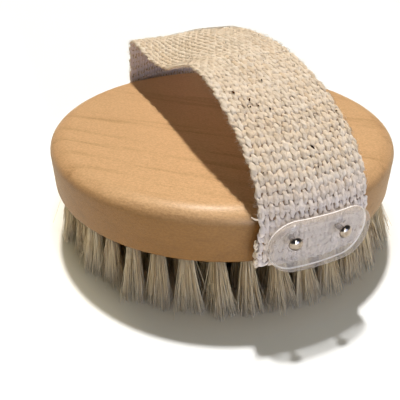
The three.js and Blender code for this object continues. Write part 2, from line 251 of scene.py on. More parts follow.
@dataclass(frozen=True)
class SatinWood:
    """Pale, close-grained wood under a satin lacquer. Its sides are darker in colour: partly finish soaked
    into their end grain, partly painted shade.

    The grain of a noise is how many of its features a millimetre holds: along the fibres, across and up.
    """

    pale: Colour = colour(221, 182, 138)
    line: Colour = colour(176, 135, 90)
    fleck: Colour = colour(146, 101, 58)
    gloss: Colour = colour(255, 238, 206)
    side: Colour = colour(184, 158, 102)  # what the sides' colour is multiplied by: painted shade, partly finish soaked into their end grain
    side_shade_heights: tuple[float, float] = (35.2, 38.6)  # where the sides' painted shade ends
    grain_turn: float = math.radians(43.4)  # turns the grain onto X
    ring_spacing: float = 4.6
    ring_drift: float = 16.0  # how far the rings wander
    pith: tuple[float, float] = (24.0, -52.0)  # the rings' middle: across the grain, and up
    drift_grain: Triple = (0.012, 0.05, 0.05)
    faint_grain: Triple = (0.03, 0.4, 0.4)
    fibre_grain: Triple = (0.12, 3.2, 3.2)
    cloud_grain: Triple = (0.05, 0.09, 0.09)
    speck_grain: Triple = (1.1, 1.8, 1.8)
    fleck_grain: Triple = (0.45, 5.5, 5.5)
    mottle_grain: Triple = (1.8, 2.4, 2.4)
    ring_share: float = 0.5  # of the dark colour, as the next three
    fibre_share: float = 0.22
    cloud_share: float = 0.12
    speck_share: float = 0.42
    paleness: float = 0.12  # what is taken off them all
    relief: float = 0.26  # of the fibres and the mottle, in millimetres
    lacquer: float = 0.3  # how much of it lies over the wood
    lacquer_roughness: float = 0.34

    def material(self) -> bpy.types.Material:
        """Builds the material.

        Returns:
            The material.
        """
        g = Graph("satin_wood")
        place = g.add("ShaderNodeMapping", sockets={
            "Vector": g.place(), "Rotation": (0, 0, self.grain_turn), "Scale": (1 / MM,) * 3})
        fibre = g.noise(g.scaled(place, self.fibre_grain), detail=4, roughness=0.65)
        cloud = g.noise(g.scaled(place, self.cloud_grain))
        speck = g.noise(g.scaled(place, self.speck_grain), detail=2, roughness=0.7)
        tone = (self._rings(g, place) * self.ring_share + fibre.between(0.25, 0.8) * self.fibre_share
                + cloud * self.cloud_share + speck.between(0.35, 0.65) * self.speck_share
                - self.paleness)
        fleck = g.noise(g.scaled(place, self.fleck_grain), detail=1).between(0.68, 0.8)
        shade = g.mix(fleck * 0.3, g.mix(tone, self.pale, self.line), self.fleck)
        # painted shade on the upright sides, below the top edge
        painted_side_shade = 1 - g.axis(g.place(), "Z").between(*(height * MM for height in self.side_shade_heights))
        shade = g.mix(painted_side_shade, shade, g.mix(1.0, shade, self.side, "MULTIPLY"))
        mottle = g.noise(g.scaled(place, self.mottle_grain), detail=3, roughness=0.75)
        return g.finished(g.surface({
            "Base Color": shade, "Roughness": self.lacquer_roughness + mottle * 0.26,
            "Specular IOR Level": 1.0, "Specular Tint": self.gloss, "Coat Weight": self.lacquer,
            "Coat Roughness": self.lacquer_roughness, "Coat Tint": self.gloss,
            "Normal": g.bump(fibre * 0.2 + mottle * 0.8, self.relief)}))

    def _rings(self, g: Graph, place: Wire) -> Wire:
        """The dark lines of the year rings, which fade in places.

        Args:
            g: the material's graph.
            place: in millimetres, with the grain along X.

        Returns:
            From 0 between the lines to 1 on them.
        """
        drift = g.noise(g.scaled(place, self.drift_grain), detail=3)
        across = g.axis(place, "Y") - self.pith[0] + drift * self.ring_drift
        rise = g.axis(place, "Z") - self.pith[1]
        radius = (across * across + rise * rise) ** 0.5
        ring = (radius / self.ring_spacing).fraction()
        line = ring.between(0.35, 0.93) * (1 - ring.between(0.93, 1.0))
        return line * g.noise(g.scaled(place, self.faint_grain)).between(0.36, 0.72)


@dataclass(frozen=True)
class CottonYarn:
    """Unbleached cotton yarn: loosely twisted, slightly uneven in colour, with painted shade in its crevices
    and painted cool light where the cool fill falls.
    """

    name: str = "cotton_yarn"
    pale: Colour = colour(255, 243, 226)
    warm: Colour = colour(240, 219, 191)
    # painted shade in the weave's crevices
    crevice: Colour = colour(166, 134, 108)
    cool: Colour = colour(248, 244, 255)  # painted cool light, on the webbing's inner face and its front foot
    twist_length: float = 1.9  # of one turn of the yarn's plies
    plies: int = 2
    fibres_round: float = 7.0  # features of the fibres' noise, in a turn
    fibre_grain: float = 700.0  # the same along the yarn, in a metre
    lint_grain: float = 2600.0  # of the lint's noise, in a metre
    relief: float = 0.32  # of plies, fibres and lint, in millimetres

    def material(self) -> bpy.types.Material:
        """Builds the material.

        Returns:
            The material.
        """
        g = Graph(self.name)
        around_along = g.add("ShaderNodeUVMap")
        around, along = (g.axis(around_along, axis) for axis in "XY")
        turns = around * self.plies - along / (self.twist_length * MM)
        ply = (turns * math.tau).sine() * 0.5 + 0.5
        fibre = g.noise(g.add("ShaderNodeCombineXYZ", sockets={
            0: turns * self.fibres_round, 1: along * self.fibre_grain, 2: g.attribute("tone") * 40}),
            detail=3, roughness=0.7)
        lint = g.noise(g.scaled(g.place(), (self.lint_grain,) * 3), detail=3, roughness=0.7)
        shade = g.mix(g.attribute("tone"), self.pale, self.warm)
        shade = g.mix(fibre.between(0.35, 0.75) * 0.6, shade, self.warm)
        # painted shade in the weave's crevices
        shade = g.mix(g.attribute("crevice").between(0.5, 1.0) * 0.5, shade, self.crevice)
        # painted cool light on the inner face and the front foot
        shade = g.mix(g.attribute("cool") * 0.85, shade, self.cool)
        normal = g.bump(ply * 0.35 + fibre * 0.6 + lint * 0.45, self.relief)
        return g.finished(g.surface({
            "Base Color": shade, "Roughness": 0.92, "Specular IOR Level": 0.2,
            "Sheen Weight": 0.15, "Sheen Roughness": 0.5, "Normal": normal}))


@dataclass(frozen=True)
class NaturalBristle:
    """Natural bristle, from straw to grey-brown, each hair of its own tone, with painted shade towards the
    roots and on the rows further in.
    """

    pale: Colour = colour(255, 238, 200)
    grey: Colour = colour(228, 203, 160)
    brown: Colour = colour(138, 110, 74)
    tip: Colour = colour(255, 250, 240)
    blotch_grain: Triple = (900, 900, 160)  # in a metre

    def material(self) -> bpy.types.Material:
        """Builds the material.

        Returns:
            The material.
        """
        g = Graph("natural_bristle")
        tone = g.attribute("tone")
        shade = g.mix(tone.between(0.1, 0.7), self.pale, self.grey)
        shade = g.mix(tone.between(0.65, 1.0) * 0.85, shade, self.brown)
        blotch = g.noise(g.scaled(g.place(), self.blotch_grain), detail=2)
        shade = g.mix(blotch.between(0.5, 0.8) * 0.25, shade, self.brown)
        # painted shade towards the roots, under the wood
        shade = g.mix((1 - g.attribute("outward").between(0.0, 0.5)) * 0.7, shade, self.brown)
        shade = g.mix(g.attribute("outward").between(0.5, 1.0) * 0.35, shade, self.tip)
        # painted shade on the rows further in
        shade = g.mix(g.attribute("inside") * 0.7, shade, self.brown)
        return g.finished(g.surface({
            "Base Color": shade, "Roughness": 0.3 + blotch * 0.2, "Specular IOR Level": 0.5}))


@dataclass(frozen=True)
class ClearPlastic:
    """Clear moulded plastic, a little milky, that takes on more white round its rounded rim. Its back edge
    glows with painted light.
    """

    milk: Colour = colour(250, 248, 250)
    rim: Colour = colour(208, 198, 188)
    edge: Colour = colour(140, 135, 128)  # painted glow, given off as emission: the light that gathers in its back edge
    face_cover: float = 0.13  # how much it hides, from 0 to 1, on its faces
    rim_cover: float = 0.36
    edge_cover: float = 0.92
    haze_cover: float = 0.06  # more of it, in clouds over the faces
    glance_cover: float = 0.2  # more of it, where it is seen at a glance
    haze_grain: float = 220.0  # in a metre

    def material(self) -> bpy.types.Material:
        """Builds the material.

        Returns:
            The material.
        """
        g = Graph("clear_plastic")
        rim = g.attribute("rim").between(0.05, 0.95)
        edge = g.attribute("edge")
        haze = g.noise(g.scaled(g.place(), (self.haze_grain,) * 3), detail=3).between(0.35, 0.75)
        glance = g.add("ShaderNodeLayerWeight", sockets={"Blend": 0.35}, outlet="Facing")
        cover = self.face_cover + haze * self.haze_cover + rim * (self.rim_cover - self.face_cover)
        cover = cover.maths("MAXIMUM", cover + glance ** 3 * self.glance_cover, edge * self.edge_cover)
        return g.finished(g.surface({
            "Base Color": g.mix(edge, g.mix(rim, self.milk, self.rim), self.milk),
            "Roughness": 0.12 + haze * 0.1, "IOR": 1.49, "Coat Weight": 0.6, "Coat Roughness": 0.06,
            # painted glow along the back edge
            "Alpha": cover, "Emission Color": g.mix(edge, (0, 0, 0, 1), self.edge),
            "Emission Strength": 1.0}))


@dataclass(frozen=True)
class PolishedNickel:
    """Nickel plate, polished and slightly scuffed."""

    plate: Colour = colour(184, 174, 166)
    worn: Colour = colour(120, 102, 80)
    scuff_grain: float = 900.0  # in a metre

    def material(self) -> bpy.types.Material:
        """Builds the material.

        Returns:
            The material.
        """
        g = Graph("polished_nickel")
        scuff = g.noise(g.scaled(g.place(), (self.scuff_grain,) * 3), detail=3).between(0.45, 0.75)
        return g.finished(g.surface({
            "Base Color": g.mix(scuff * 0.6, self.plate, self.worn),
            "Roughness": 0.08 + scuff * 0.12, "Metallic": 1.0}))


@dataclass(frozen=True)
class SeedHusk:
    """Specks of cotton seed husk."""

    dark: Colour = colour(44, 26, 12)
    light: Colour = colour(104, 70, 40)

    def material(self) -> bpy.types.Material:
        """Builds the material.

        Returns:
            The material.
        """
        g = Graph("seed_husk")
        shade = g.mix(g.attribute("tone"), self.dark, self.light)
        return g.finished(g.surface({"Base Color": shade, "Roughness": 0.9, "Specular IOR Level": 0.1}))


# ---- Modelling ----


def only(piece: Piece) -> None:
    """Makes one piece the selected and active one.

    Args:
        piece: the piece.
    """
    bpy.ops.object.select_all(action="DESELECT")
    piece.select_set(True)
    bpy.context.view_layer.objects.active = piece


@contextmanager
def editing(piece: Piece) -> Iterator[bmesh.types.BMesh]:
    """Edit mode on a piece, with nothing of it selected at first.

    Args:
        piece: the piece to edit.

    Yields:
        The mesh that is being edited.
    """
    only(piece)
    bpy.ops.object.mode_set(mode="EDIT")
    bpy.ops.mesh.select_all(action="DESELECT")
    yield bmesh.from_edit_mesh(piece.data)
    bpy.ops.object.mode_set(mode="OBJECT")


def pick(mesh: bmesh.types.BMesh, kind: str, test: Callable[[Vector], bool]) -> None:
    """Selects the parts of a mesh whose every corner passes a test, and nothing else.

    Args:
        mesh: the mesh in edit mode.
        kind: VERT, EDGE or FACE.
        test: says of a corner's place, in millimetres, whether it passes.
    """
    bpy.ops.mesh.select_mode(type=kind)
    bpy.ops.mesh.select_all(action="DESELECT")
    parts = {"VERT": mesh.verts, "EDGE": mesh.edges, "FACE": mesh.faces}[kind]
    for part in parts:
        corners = [part] if kind == "VERT" else part.verts
        part.select = all(test(corner.co / MM) for corner in corners)
    mesh.select_flush_mode()


def moved(x: float, y: float, z: float) -> dict[str, tuple[float, float, float]]:
    """An operator's move, from millimetres."""
    return {"value": (x * MM, y * MM, z * MM)}


def apply_modifier(piece: Piece, kind: str, **settings: Any) -> None:
    """Adds a modifier and applies it.

    Args:
        piece: the piece to change.
        kind: the modifier's Blender type.
        settings: its properties.
    """
    only(piece)
    modifier = piece.modifiers.new(kind.lower(), kind)
    for key, value in settings.items():
        setattr(modifier, key, value)
    bpy.ops.object.modifier_apply(modifier=modifier.name)


def settle(piece: Piece, place: Matrix) -> Piece:
    """Moves a piece's mesh to its place, and leaves its object at the origin.

    Args:
        piece: the piece to move.
        place: the move and turn, in metres.

    Returns:
        The piece.
    """
    piece.data.transform(place @ piece.matrix_world)
    piece.matrix_world = Matrix.Identity(4)
    return piece


def copy_of(piece: Piece, name: str, place: Matrix) -> Piece:
    """Copies a piece, with a mesh of its own.

    Args:
        piece: the piece to copy.
        name: of the copy.
        place: the copy's move and turn, in metres.

    Returns:
        The copy.
    """
    copy = piece.copy()
    copy.data = piece.data.copy()
    copy.name = copy.data.name = name
    bpy.context.scene.collection.objects.link(copy)
    return settle(copy, place)


def smooth(piece: Piece, angle: float = 35) -> None:
    """Shades a piece smooth, apart from edges sharper than an angle in degrees."""
    only(piece)
    bpy.ops.object.shade_smooth_by_angle(angle=math.radians(angle))


def added(name: str) -> Piece:
    """Names the primitive that was just added, and puts its place in its mesh.

    Args:
        name: of the piece.

    Returns:
        The piece.
    """
    piece = bpy.context.object
    piece.name = piece.data.name = name
    return settle(piece, Matrix.Identity(4))


def cut_away(piece: Piece, cutter: Piece) -> None:
    """Cuts a piece by another, which is then deleted."""
    apply_modifier(piece, "BOOLEAN", operation="DIFFERENCE", object=cutter, solver="EXACT")
    bpy.data.objects.remove(cutter)


def joined(name: str, pieces: list[Piece]) -> Piece:
    """Joins several pieces as one.

    Args:
        name: of the joined piece.
        pieces: what it is joined from.

    Returns:
        The joined piece.
    """
    only(pieces[0])
    for piece in pieces:
        piece.select_set(True)
    bpy.ops.object.join()
    pieces[0].name = pieces[0].data.name = name
    return pieces[0]


def rod(name: str, radius: float, length: float, place: Matrix, sides: int = 24) -> Piece:
    """A plain rod along its place's Z axis, in millimetres, to cut a hole with."""
    bpy.ops.mesh.primitive_cylinder_add(vertices=sides, radius=radius * MM, depth=length * MM)
    return settle(added(name), place)


def outwards(angle: float, radius: float, height: float) -> Matrix:
    """A place on the brush's side whose Z axis points outwards.

    Args:
        angle: from the front, about Z.
        radius: from the brush's middle, in millimetres.
        height: above the floor, in millimetres.

    Returns:
        The place, in metres.
    """
    facing_front = Matrix.Rotation(math.pi / 2, 4, "X")
    return (Matrix.Rotation(angle, 4, "Z") @ Matrix.Translation((0, -radius * MM, height * MM))
            @ facing_front)


def unit(vectors: np.ndarray) -> np.ndarray:
    """Vectors at length one."""
    return vectors / np.maximum(np.linalg.norm(vectors, axis=-1, keepdims=True), 1e-12)


def smoothstep(values: np.ndarray, low: float = 0.0, high: float = 1.0) -> np.ndarray:
    """0 up to low, 1 from high on, and smooth between."""
    share = np.clip((values - low) / (high - low), 0, 1)
    return share * share * (3 - 2 * share)


def wander(rng: np.random.Generator, rods: int, points: int, knots: int, size: float) -> np.ndarray:
    """Slow random drifts, one for each rod.

    Args:
        rng: the source of random numbers.
        rods: how many drifts.
        points: how many values in each.
        knots: how many independent values in each.
        size: the drifts' standard deviation.

    Returns:
        An array of rods by points.
    """
    values = rng.normal(0, size, (rods, knots + 1))
    place = np.linspace(0, knots, points)
    left = np.minimum(place.astype(int), knots - 1)
    share = smoothstep(place - left)
    return values[:, left] * (1 - share) + values[:, left + 1] * share


@dataclass
class Rods:
    """Yarns or hairs: closed rods that follow paths of the same number of points, in millimetres."""

    paths: np.ndarray  # rods, points, 3
    facing: np.ndarray  # which way each rod's height points, along it
    half_width: Any
    half_height: Any
    sides: int = 8
    swell: Any = 1.0  # how far each corner stands out, as a share of the plain oval

    def rings(self) -> np.ndarray:
        """Works out the places of the rods' corners.

        Returns:
            An array of rods by points by sides by 3.
        """
        onwards = unit(np.gradient(self.paths, axis=1))
        aside = unit(np.cross(onwards, self.facing))
        up = np.cross(aside, onwards)
        turn = np.arange(self.sides) * math.tau / self.sides
        shape = self.paths.shape[:2]
        wide = np.broadcast_to(self.half_width, shape)[..., None] * np.cos(turn)
        high = np.broadcast_to(self.half_height, shape)[..., None] * np.sin(turn)
        offset = wide[..., None] * aside[:, :, None] + high[..., None] * up[:, :, None]
        swell = np.broadcast_to(self.swell, (*shape, self.sides))[..., None]
        return self.paths[:, :, None] + swell * offset

    def piece(self, name: str, **attributes: np.ndarray) -> Piece:
        """Builds the mesh, with a UV map of (share of the way round, metres along).

        Args:
            name: of the piece.
            attributes: numbers for its corners, in an array that fits rods, points, sides.

        Returns:
            The piece.
        """
        rods, points = self.paths.shape[:2]
        count = rods * points * self.sides
        index = np.arange(count).reshape(rods, points, self.sides)
        after = np.roll(index, -1, axis=2)
        quads = np.stack([index[:, :-1], index[:, 1:], after[:, 1:], after[:, :-1]], axis=-1)
        caps = np.concatenate([index[:, 0], index[:, -1, ::-1]])
        mesh = bpy.data.meshes.new(name)
        corners = (self.rings() * MM).reshape(-1, 3).tolist()
        mesh.from_pydata(corners, [], quads.reshape(-1, 4).tolist() + caps.tolist())
        step = np.linalg.norm(np.diff(self.paths, axis=1), axis=2)
        along = np.concatenate([np.zeros((rods, 1)), np.cumsum(step, axis=1)], axis=1) * MM
        around = np.arange(self.sides)
        first, last = np.broadcast_arrays(along[:, :-1, None], along[:, 1:, None] + around * 0)
        left = np.broadcast_to(around / self.sides, last.shape)
        right = left + 1 / self.sides
        pairs = [(left, first), (left, last), (right, last), (right, first)]
        uv = np.stack([np.stack(np.broadcast_arrays(*pair), axis=-1) for pair in pairs], axis=-2)
        cap_uv = np.zeros((caps.size, 2))
        layer = mesh.uv_layers.new(name="along")
        layer.data.foreach_set("uv", np.concatenate([uv.reshape(-1, 2), cap_uv]).ravel())
        for key, values in attributes.items():
            held = mesh.attributes.new(key, "FLOAT", "POINT")
            held.data.foreach_set("value", np.broadcast_to(values, index.shape).ravel())
        mesh.shade_smooth()
        piece = bpy.data.objects.new(name, mesh)
        bpy.context.scene.collection.objects.link(piece)
        return piece


def dress(piece: Piece, finish: bpy.types.Material, slot: Slot, *nodes: str) -> None:
    """Gives a piece its finish and body, and hides the CAD nodes that it stands for.

    Args:
        piece: the piece to dress.
        finish: its material.
        slot: a material slot; not used.
        nodes: the CAD nodes' names.
    """
    piece.data.materials.clear()
    piece.data.materials.append(finish)
    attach(piece, "root")
    if nodes:
        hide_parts(*nodes)
    log.info("%s: %d faces", piece.name, len(piece.data.polygons))


# ---- Wooden base ----


@dataclass
class TuftRows:
    """Where the tufts stand: in rows round the middle one, at an even pitch."""

    outer_radius: float = 59.0
    rows: int = 6
    pitch: float = 9.3

    def spacing(self) -> float:
        """From one row to the next."""
        return self.outer_radius / self.rows

    def angles(self, row: int) -> np.ndarray:
        """The angles about Z of a row's tufts, counted from the middle one as row 0."""
        count = max(round(math.tau * row * self.spacing() / self.pitch), 1)
        return np.arange(count) * math.tau / count


@dataclass
class WoodenBase:
    """A turned disc with a well rounded top edge, drilled for the tufts and the nails."""

    finish: bpy.types.Material
    rows: TuftRows
    bottom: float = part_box("wooden_base")[0].z / MM
    top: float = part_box("wooden_base")[1].z / MM
    radius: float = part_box("wooden_base")[1].x / MM
    top_edge: float = 4.5  # how far the top edge falls to the upright side
    shoulder: float = 9.0  # the top edge's radius where it leaves the top
    shoulder_turn: float = math.radians(35)  # how far it turns on that radius
    corner: float = 3.5  # its radius from there down
    bottom_edge: float = 1.2
    steps_round: int = 192
    top_edge_steps: int = 16
    shoulder_steps: int = 6
    bottom_edge_steps: int = 4
    flat_margin: float = 0.3  # a narrow ring inside each rim keeps the flat flat
    tuft_hole_radius: float = 2.5
    tuft_hole_depth: float = 6.0

    @property
    def border(self) -> float:
        """How far in from the side the top edge reaches."""
        return self.shoulder * math.sin(self.shoulder_turn) + self.corner_border

    @property
    def corner_border(self) -> float:
        """How far in from the side its corner reaches."""
        return self.corner * (1 - math.sin(self.shoulder_turn))

    def build(self, nail_cutters: list[Piece]) -> None:
        """Builds and dresses the base.

        Args:
            nail_cutters: rods where the nails go in.
        """
        bpy.ops.mesh.primitive_circle_add(
            vertices=self.steps_round, radius=self.radius * MM, fill_type="NGON",
            location=(0, 0, self.bottom * MM))
        disc = added("turned_base")
        with editing(disc) as mesh:
            bpy.ops.mesh.select_all(action="SELECT")
            bpy.ops.mesh.extrude_region_move(
                TRANSFORM_OT_translate=moved(0, 0, self.top - self.bottom))
            bpy.ops.mesh.select_all(action="SELECT")
            bpy.ops.mesh.normals_make_consistent(inside=False)
        self._round_rim(disc, self.top, self.top_edge, self.top_edge_steps)
        self._round_rim(disc, self.bottom, self.bottom_edge, self.bottom_edge_steps)
        self._ease_shoulder(disc)
        smooth(disc)
        cut_away(disc, joined("drill", [*self._tuft_cutters(), *nail_cutters]))
        dress(disc, self.finish, Slot.WOOD, "wooden_base")

    def _round_rim(self, disc: Piece, height: float, size: float, steps: int) -> None:
        """Rounds a rim, and insets the flat inside it so that it stays flat.

        Args:
            disc: the disc.
            height: of the rim.
            size: the round's radius.
            steps: over the round.
        """
        def on_flat(place: Vector) -> bool:
            """Says whether a place is at the rim's height."""
            return abs(place.z - height) < NEAR

        with editing(disc) as mesh:
            pick(mesh, "EDGE", on_flat)
            bpy.ops.mesh.bevel(offset=size * MM, segments=steps, profile=0.5, affect="EDGES")
        with editing(disc) as mesh:
            pick(mesh, "FACE", on_flat)
            bpy.ops.mesh.inset(thickness=self.flat_margin * MM)

    def _ease_shoulder(self, disc: Piece) -> None:
        """Reshapes the top edge, so that it falls away slowly and then turns down tightly.

        Args:
            disc: the disc, with its rims rounded.
        """
        flat = self.radius - self.top_edge - self.flat_margin / 2
        with editing(disc) as mesh:
            pick(mesh, "FACE", lambda place: abs(place.z - self.top) < NEAR and place.xy.length < flat)
            for _ in range(self.shoulder_steps):
                bpy.ops.mesh.inset(thickness=(self.border - self.top_edge) / self.shoulder_steps * MM)
        for corner in disc.data.vertices:
            inwards = self.radius - math.hypot(corner.co.x, corner.co.y) / MM
            if corner.co.z / MM >= self.top - self.top_edge - NEAR and inwards <= self.border:
                corner.co.z = (self.top - self._fall(inwards)) * MM

    def _fall(self, inwards: float) -> float:
        """How far the top edge lies below the top.

        Args:
            inwards: the distance in from the side.

        Returns:
            The fall there.
        """
        if inwards > self.corner_border:
            return self.shoulder - math.sqrt(self.shoulder ** 2 - (self.border - inwards) ** 2)
        return self.top_edge - math.sqrt(max(self.corner ** 2 - (self.corner - inwards) ** 2, 0))

    def _tuft_cutters(self) -> list[Piece]:
        """Makes a rod for each tuft's hole.

        Returns:
            The rods.
        """
        cutters = []
        for row in range(self.rows.rows + 1):
            for angle in self.rows.angles(row):
                reach = row * self.rows.spacing() * MM
                place = (reach * math.cos(angle), reach * math.sin(angle), self.bottom * MM)
                cutters.append(rod("drill", self.tuft_hole_radius, 2 * self.tuft_hole_depth,
                                   Matrix.Translation(place), sides=20))
        return cutters


# ---- Bristles ----


@dataclass
class BristleRing:
    """Some rows of tufts, which stand for one CAD node."""

    node: str
    name: str
    first_row: int
    last_row: int
    hairs: int  # in each tuft
    points: int  # along each hair
    inside: float  # how much its rows are hidden from the light, from 0 to 1


@dataclass
class Bristles:
    """Flared tufts of natural bristle, whose hairs keep together in clumps."""

    finish: bpy.types.Material
    rows: TuftRows
    bottom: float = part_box("wooden_base")[0].z / MM
    rings: tuple[BristleRing, ...] = (
        BristleRing("outer_bristle_ring", "outer_bristles", 6, 6, 180, 5, 0.0),
        BristleRing("second_bristle_ring", "second_bristles", 5, 5, 160, 5, 0.45),
        BristleRing("middle_bristle_ring", "middle_bristles", 3, 4, 130, 4, 0.8),
        BristleRing("inner_bristle_disc", "inner_bristles", 0, 2, 110, 4, 0.8),
    )
    seed: int = 11
    tuft_radius: float = 1.8
    root_depth: float = 2.5
    spread_along: float = 3.45  # a tuft's width at its tips, over its width at its root, along the row
    spread_out: float = 2.4  # the same, across the row
    lean: float = 4.6  # of the outer row's tips past their roots
    lean_falloff: float = 3.0  # the power by which rows further in lean less
    sweep: tuple[float, float] = (1.6, -0.6)  # of the outer row's tips, along X and Y, as they have dried
    swept: tuple[float, float] = (0.2, 1.0)  # where that sets in, as shares of the outer row's radius
    clumps: int = 13  # in each tuft
    clump_crowding: float = 0.35  # the power that sets where clumps stand: a low one fills the rim
    hair_crowding: float = 0.5
    clump_share: float = 0.72  # of a tip's place in its tuft, for its clump's place
    own_share: float = 0.3  # the same, for its own
    tuft_drift: float = 0.25  # of a tuft's tips, all together
    clump_drift: float = 0.3
    looseness: float = 0.22  # of one hair's tip
    clump_bow: float = 0.3
    hair_bow: float = 0.15
    clump_shortness: float = 0.4  # how far tips end above the floor
    hair_shortness: float = 0.2
    stray_share: float = 0.15
    stray_looseness: float = 8.0  # over a plain hair's
    stray_shortness: float = 1.8
    bends: tuple[float, float] = (1.0, 1.7)  # the powers by which clumps lean out towards their tips
    hair_radius: float = 0.125
    hair_sizes: tuple[float, float] = (0.7, 1.2)  # over that radius
    sides: int = 3
    tip_thickness: float = 0.6  # as a share of the root's
    coarse_share: float = 0.14  # of the hairs, which are thick and white
    coarse_thickness: float = 1.4  # over a plain hair's
    coarse_tone: float = 0.05
    tone: float = 0.42
    tuft_tones: float = 0.1  # how much tufts, clumps and hairs stray from that
    clump_tones: float = 0.16
    hair_tones: float = 0.26
    facing: Triple = (1.0, 0.2, 0.0)  # of the hairs' sections

    def build(self) -> None:
        """Builds and dresses the four rings of bristles."""
        rng = np.random.default_rng(self.seed)
        for ring in self.rings:
            tufts = [self._tuft(rng, row, angle, ring.hairs, ring.points)
                     for row in range(ring.first_row, ring.last_row + 1)
                     for angle in self.rows.angles(row)]
            paths, tones = (np.concatenate(part) for part in zip(*tufts))
            coarse = rng.uniform(0, 1, (len(paths), 1)) < self.coarse_share
            taper = np.linspace(1, self.tip_thickness, ring.points)
            thickness = self.hair_radius * rng.uniform(*self.hair_sizes, coarse.shape) * taper
            thickness = thickness * np.where(coarse, self.coarse_thickness, 1.0)
            facing = np.broadcast_to(np.array(self.facing), paths.shape)
            tone = np.where(coarse, self.coarse_tone, tones[:, None])[..., None]
            outward = np.linspace(0, 1, ring.points)[:, None]
            piece = Rods(paths, facing, thickness, thickness, self.sides).piece(
                ring.name, tone=tone, outward=outward, inside=np.array(ring.inside))
            dress(piece, self.finish, Slot.BRISTLE, ring.node)

    def _tuft(self, rng: np.random.Generator, row: int, angle: float, hairs: int,
              points: int) -> tuple[np.ndarray, np.ndarray]:
        """Works out one tuft's hairs.

        Args:
            rng: the source of random numbers.
            row: the tuft's row.
            angle: about Z.
            hairs: how many.
            points: along each.

        Returns:
            The hairs' paths, from inside the wood to their tips, and their tones.
        """
        outward = np.array([math.cos(angle), math.sin(angle), 0])
        aside = np.array([-math.sin(angle), math.cos(angle), 0])
        clump = rng.integers(0, self.clumps, hairs)
        middle = self._in_disc(rng, self.clumps, self.clump_crowding)[:, clump]
        own = self._in_disc(rng, hairs, self.hair_crowding)
        stray = rng.uniform(0, 1, hairs) < self.stray_share
        loose = rng.normal(0, self.looseness, (2, hairs)) * np.where(stray, self.stray_looseness, 1.0)
        spread = np.array([[self.spread_out], [self.spread_along]])
        root = self.tuft_radius * (middle + own) / 2
        tip = self.tuft_radius * spread * (self.clump_share * middle + self.own_share * own) + loose
        tip += rng.normal(0, self.tuft_drift, (2, 1))
        tip += rng.normal(0, self.clump_drift, (2, self.clumps))[:, clump]
        tip[0] += self.lean * (row / self.rows.rows) ** self.lean_falloff
        bow = (rng.normal(0, self.clump_bow, (2, self.clumps))[:, clump]
               + rng.normal(0, self.hair_bow, (2, hairs)))
        short = (np.abs(rng.normal(0, self.clump_shortness, self.clumps))[clump]
                 + np.abs(rng.normal(0, self.hair_shortness, hairs)))
        short += np.where(stray, rng.uniform(0, self.stray_shortness, hairs), 0)
        down = np.linspace(0, 1, points)
        bend = down ** rng.uniform(*self.bends, self.clumps)[clump][:, None]
        out, side = (root[k][:, None] + (tip[k] - root[k])[:, None] * bend
                     + bow[k][:, None] * np.sin(math.pi * down) for k in (0, 1))
        out = out + row * self.rows.spacing()
        path = out[..., None] * outward + side[..., None] * aside
        sweep = np.array([*self.sweep, 0.0]) * smoothstep(np.array(row / self.rows.rows), *self.swept)
        path += bend[..., None] * sweep
        top = self.bottom + self.root_depth
        path[..., 2] = top - (top - self.hair_radius - short[:, None]) * down
        tone = (self.tone + rng.normal(0, self.tuft_tones)
                + rng.normal(0, self.clump_tones, self.clumps)[clump]
                + rng.normal(0, self.hair_tones, hairs))
        return path, np.clip(tone, 0, 1)

    def _in_disc(self, rng: np.random.Generator, count: int, power: float) -> np.ndarray:
        """Random places in a disc of radius one, as (out, aside), that crowd by a power."""
        turn, reach = rng.uniform(0, math.tau, count), rng.uniform(0, 1, count) ** power
        return np.stack([reach * np.cos(turn), reach * np.sin(turn)])


# ---- Strap ----


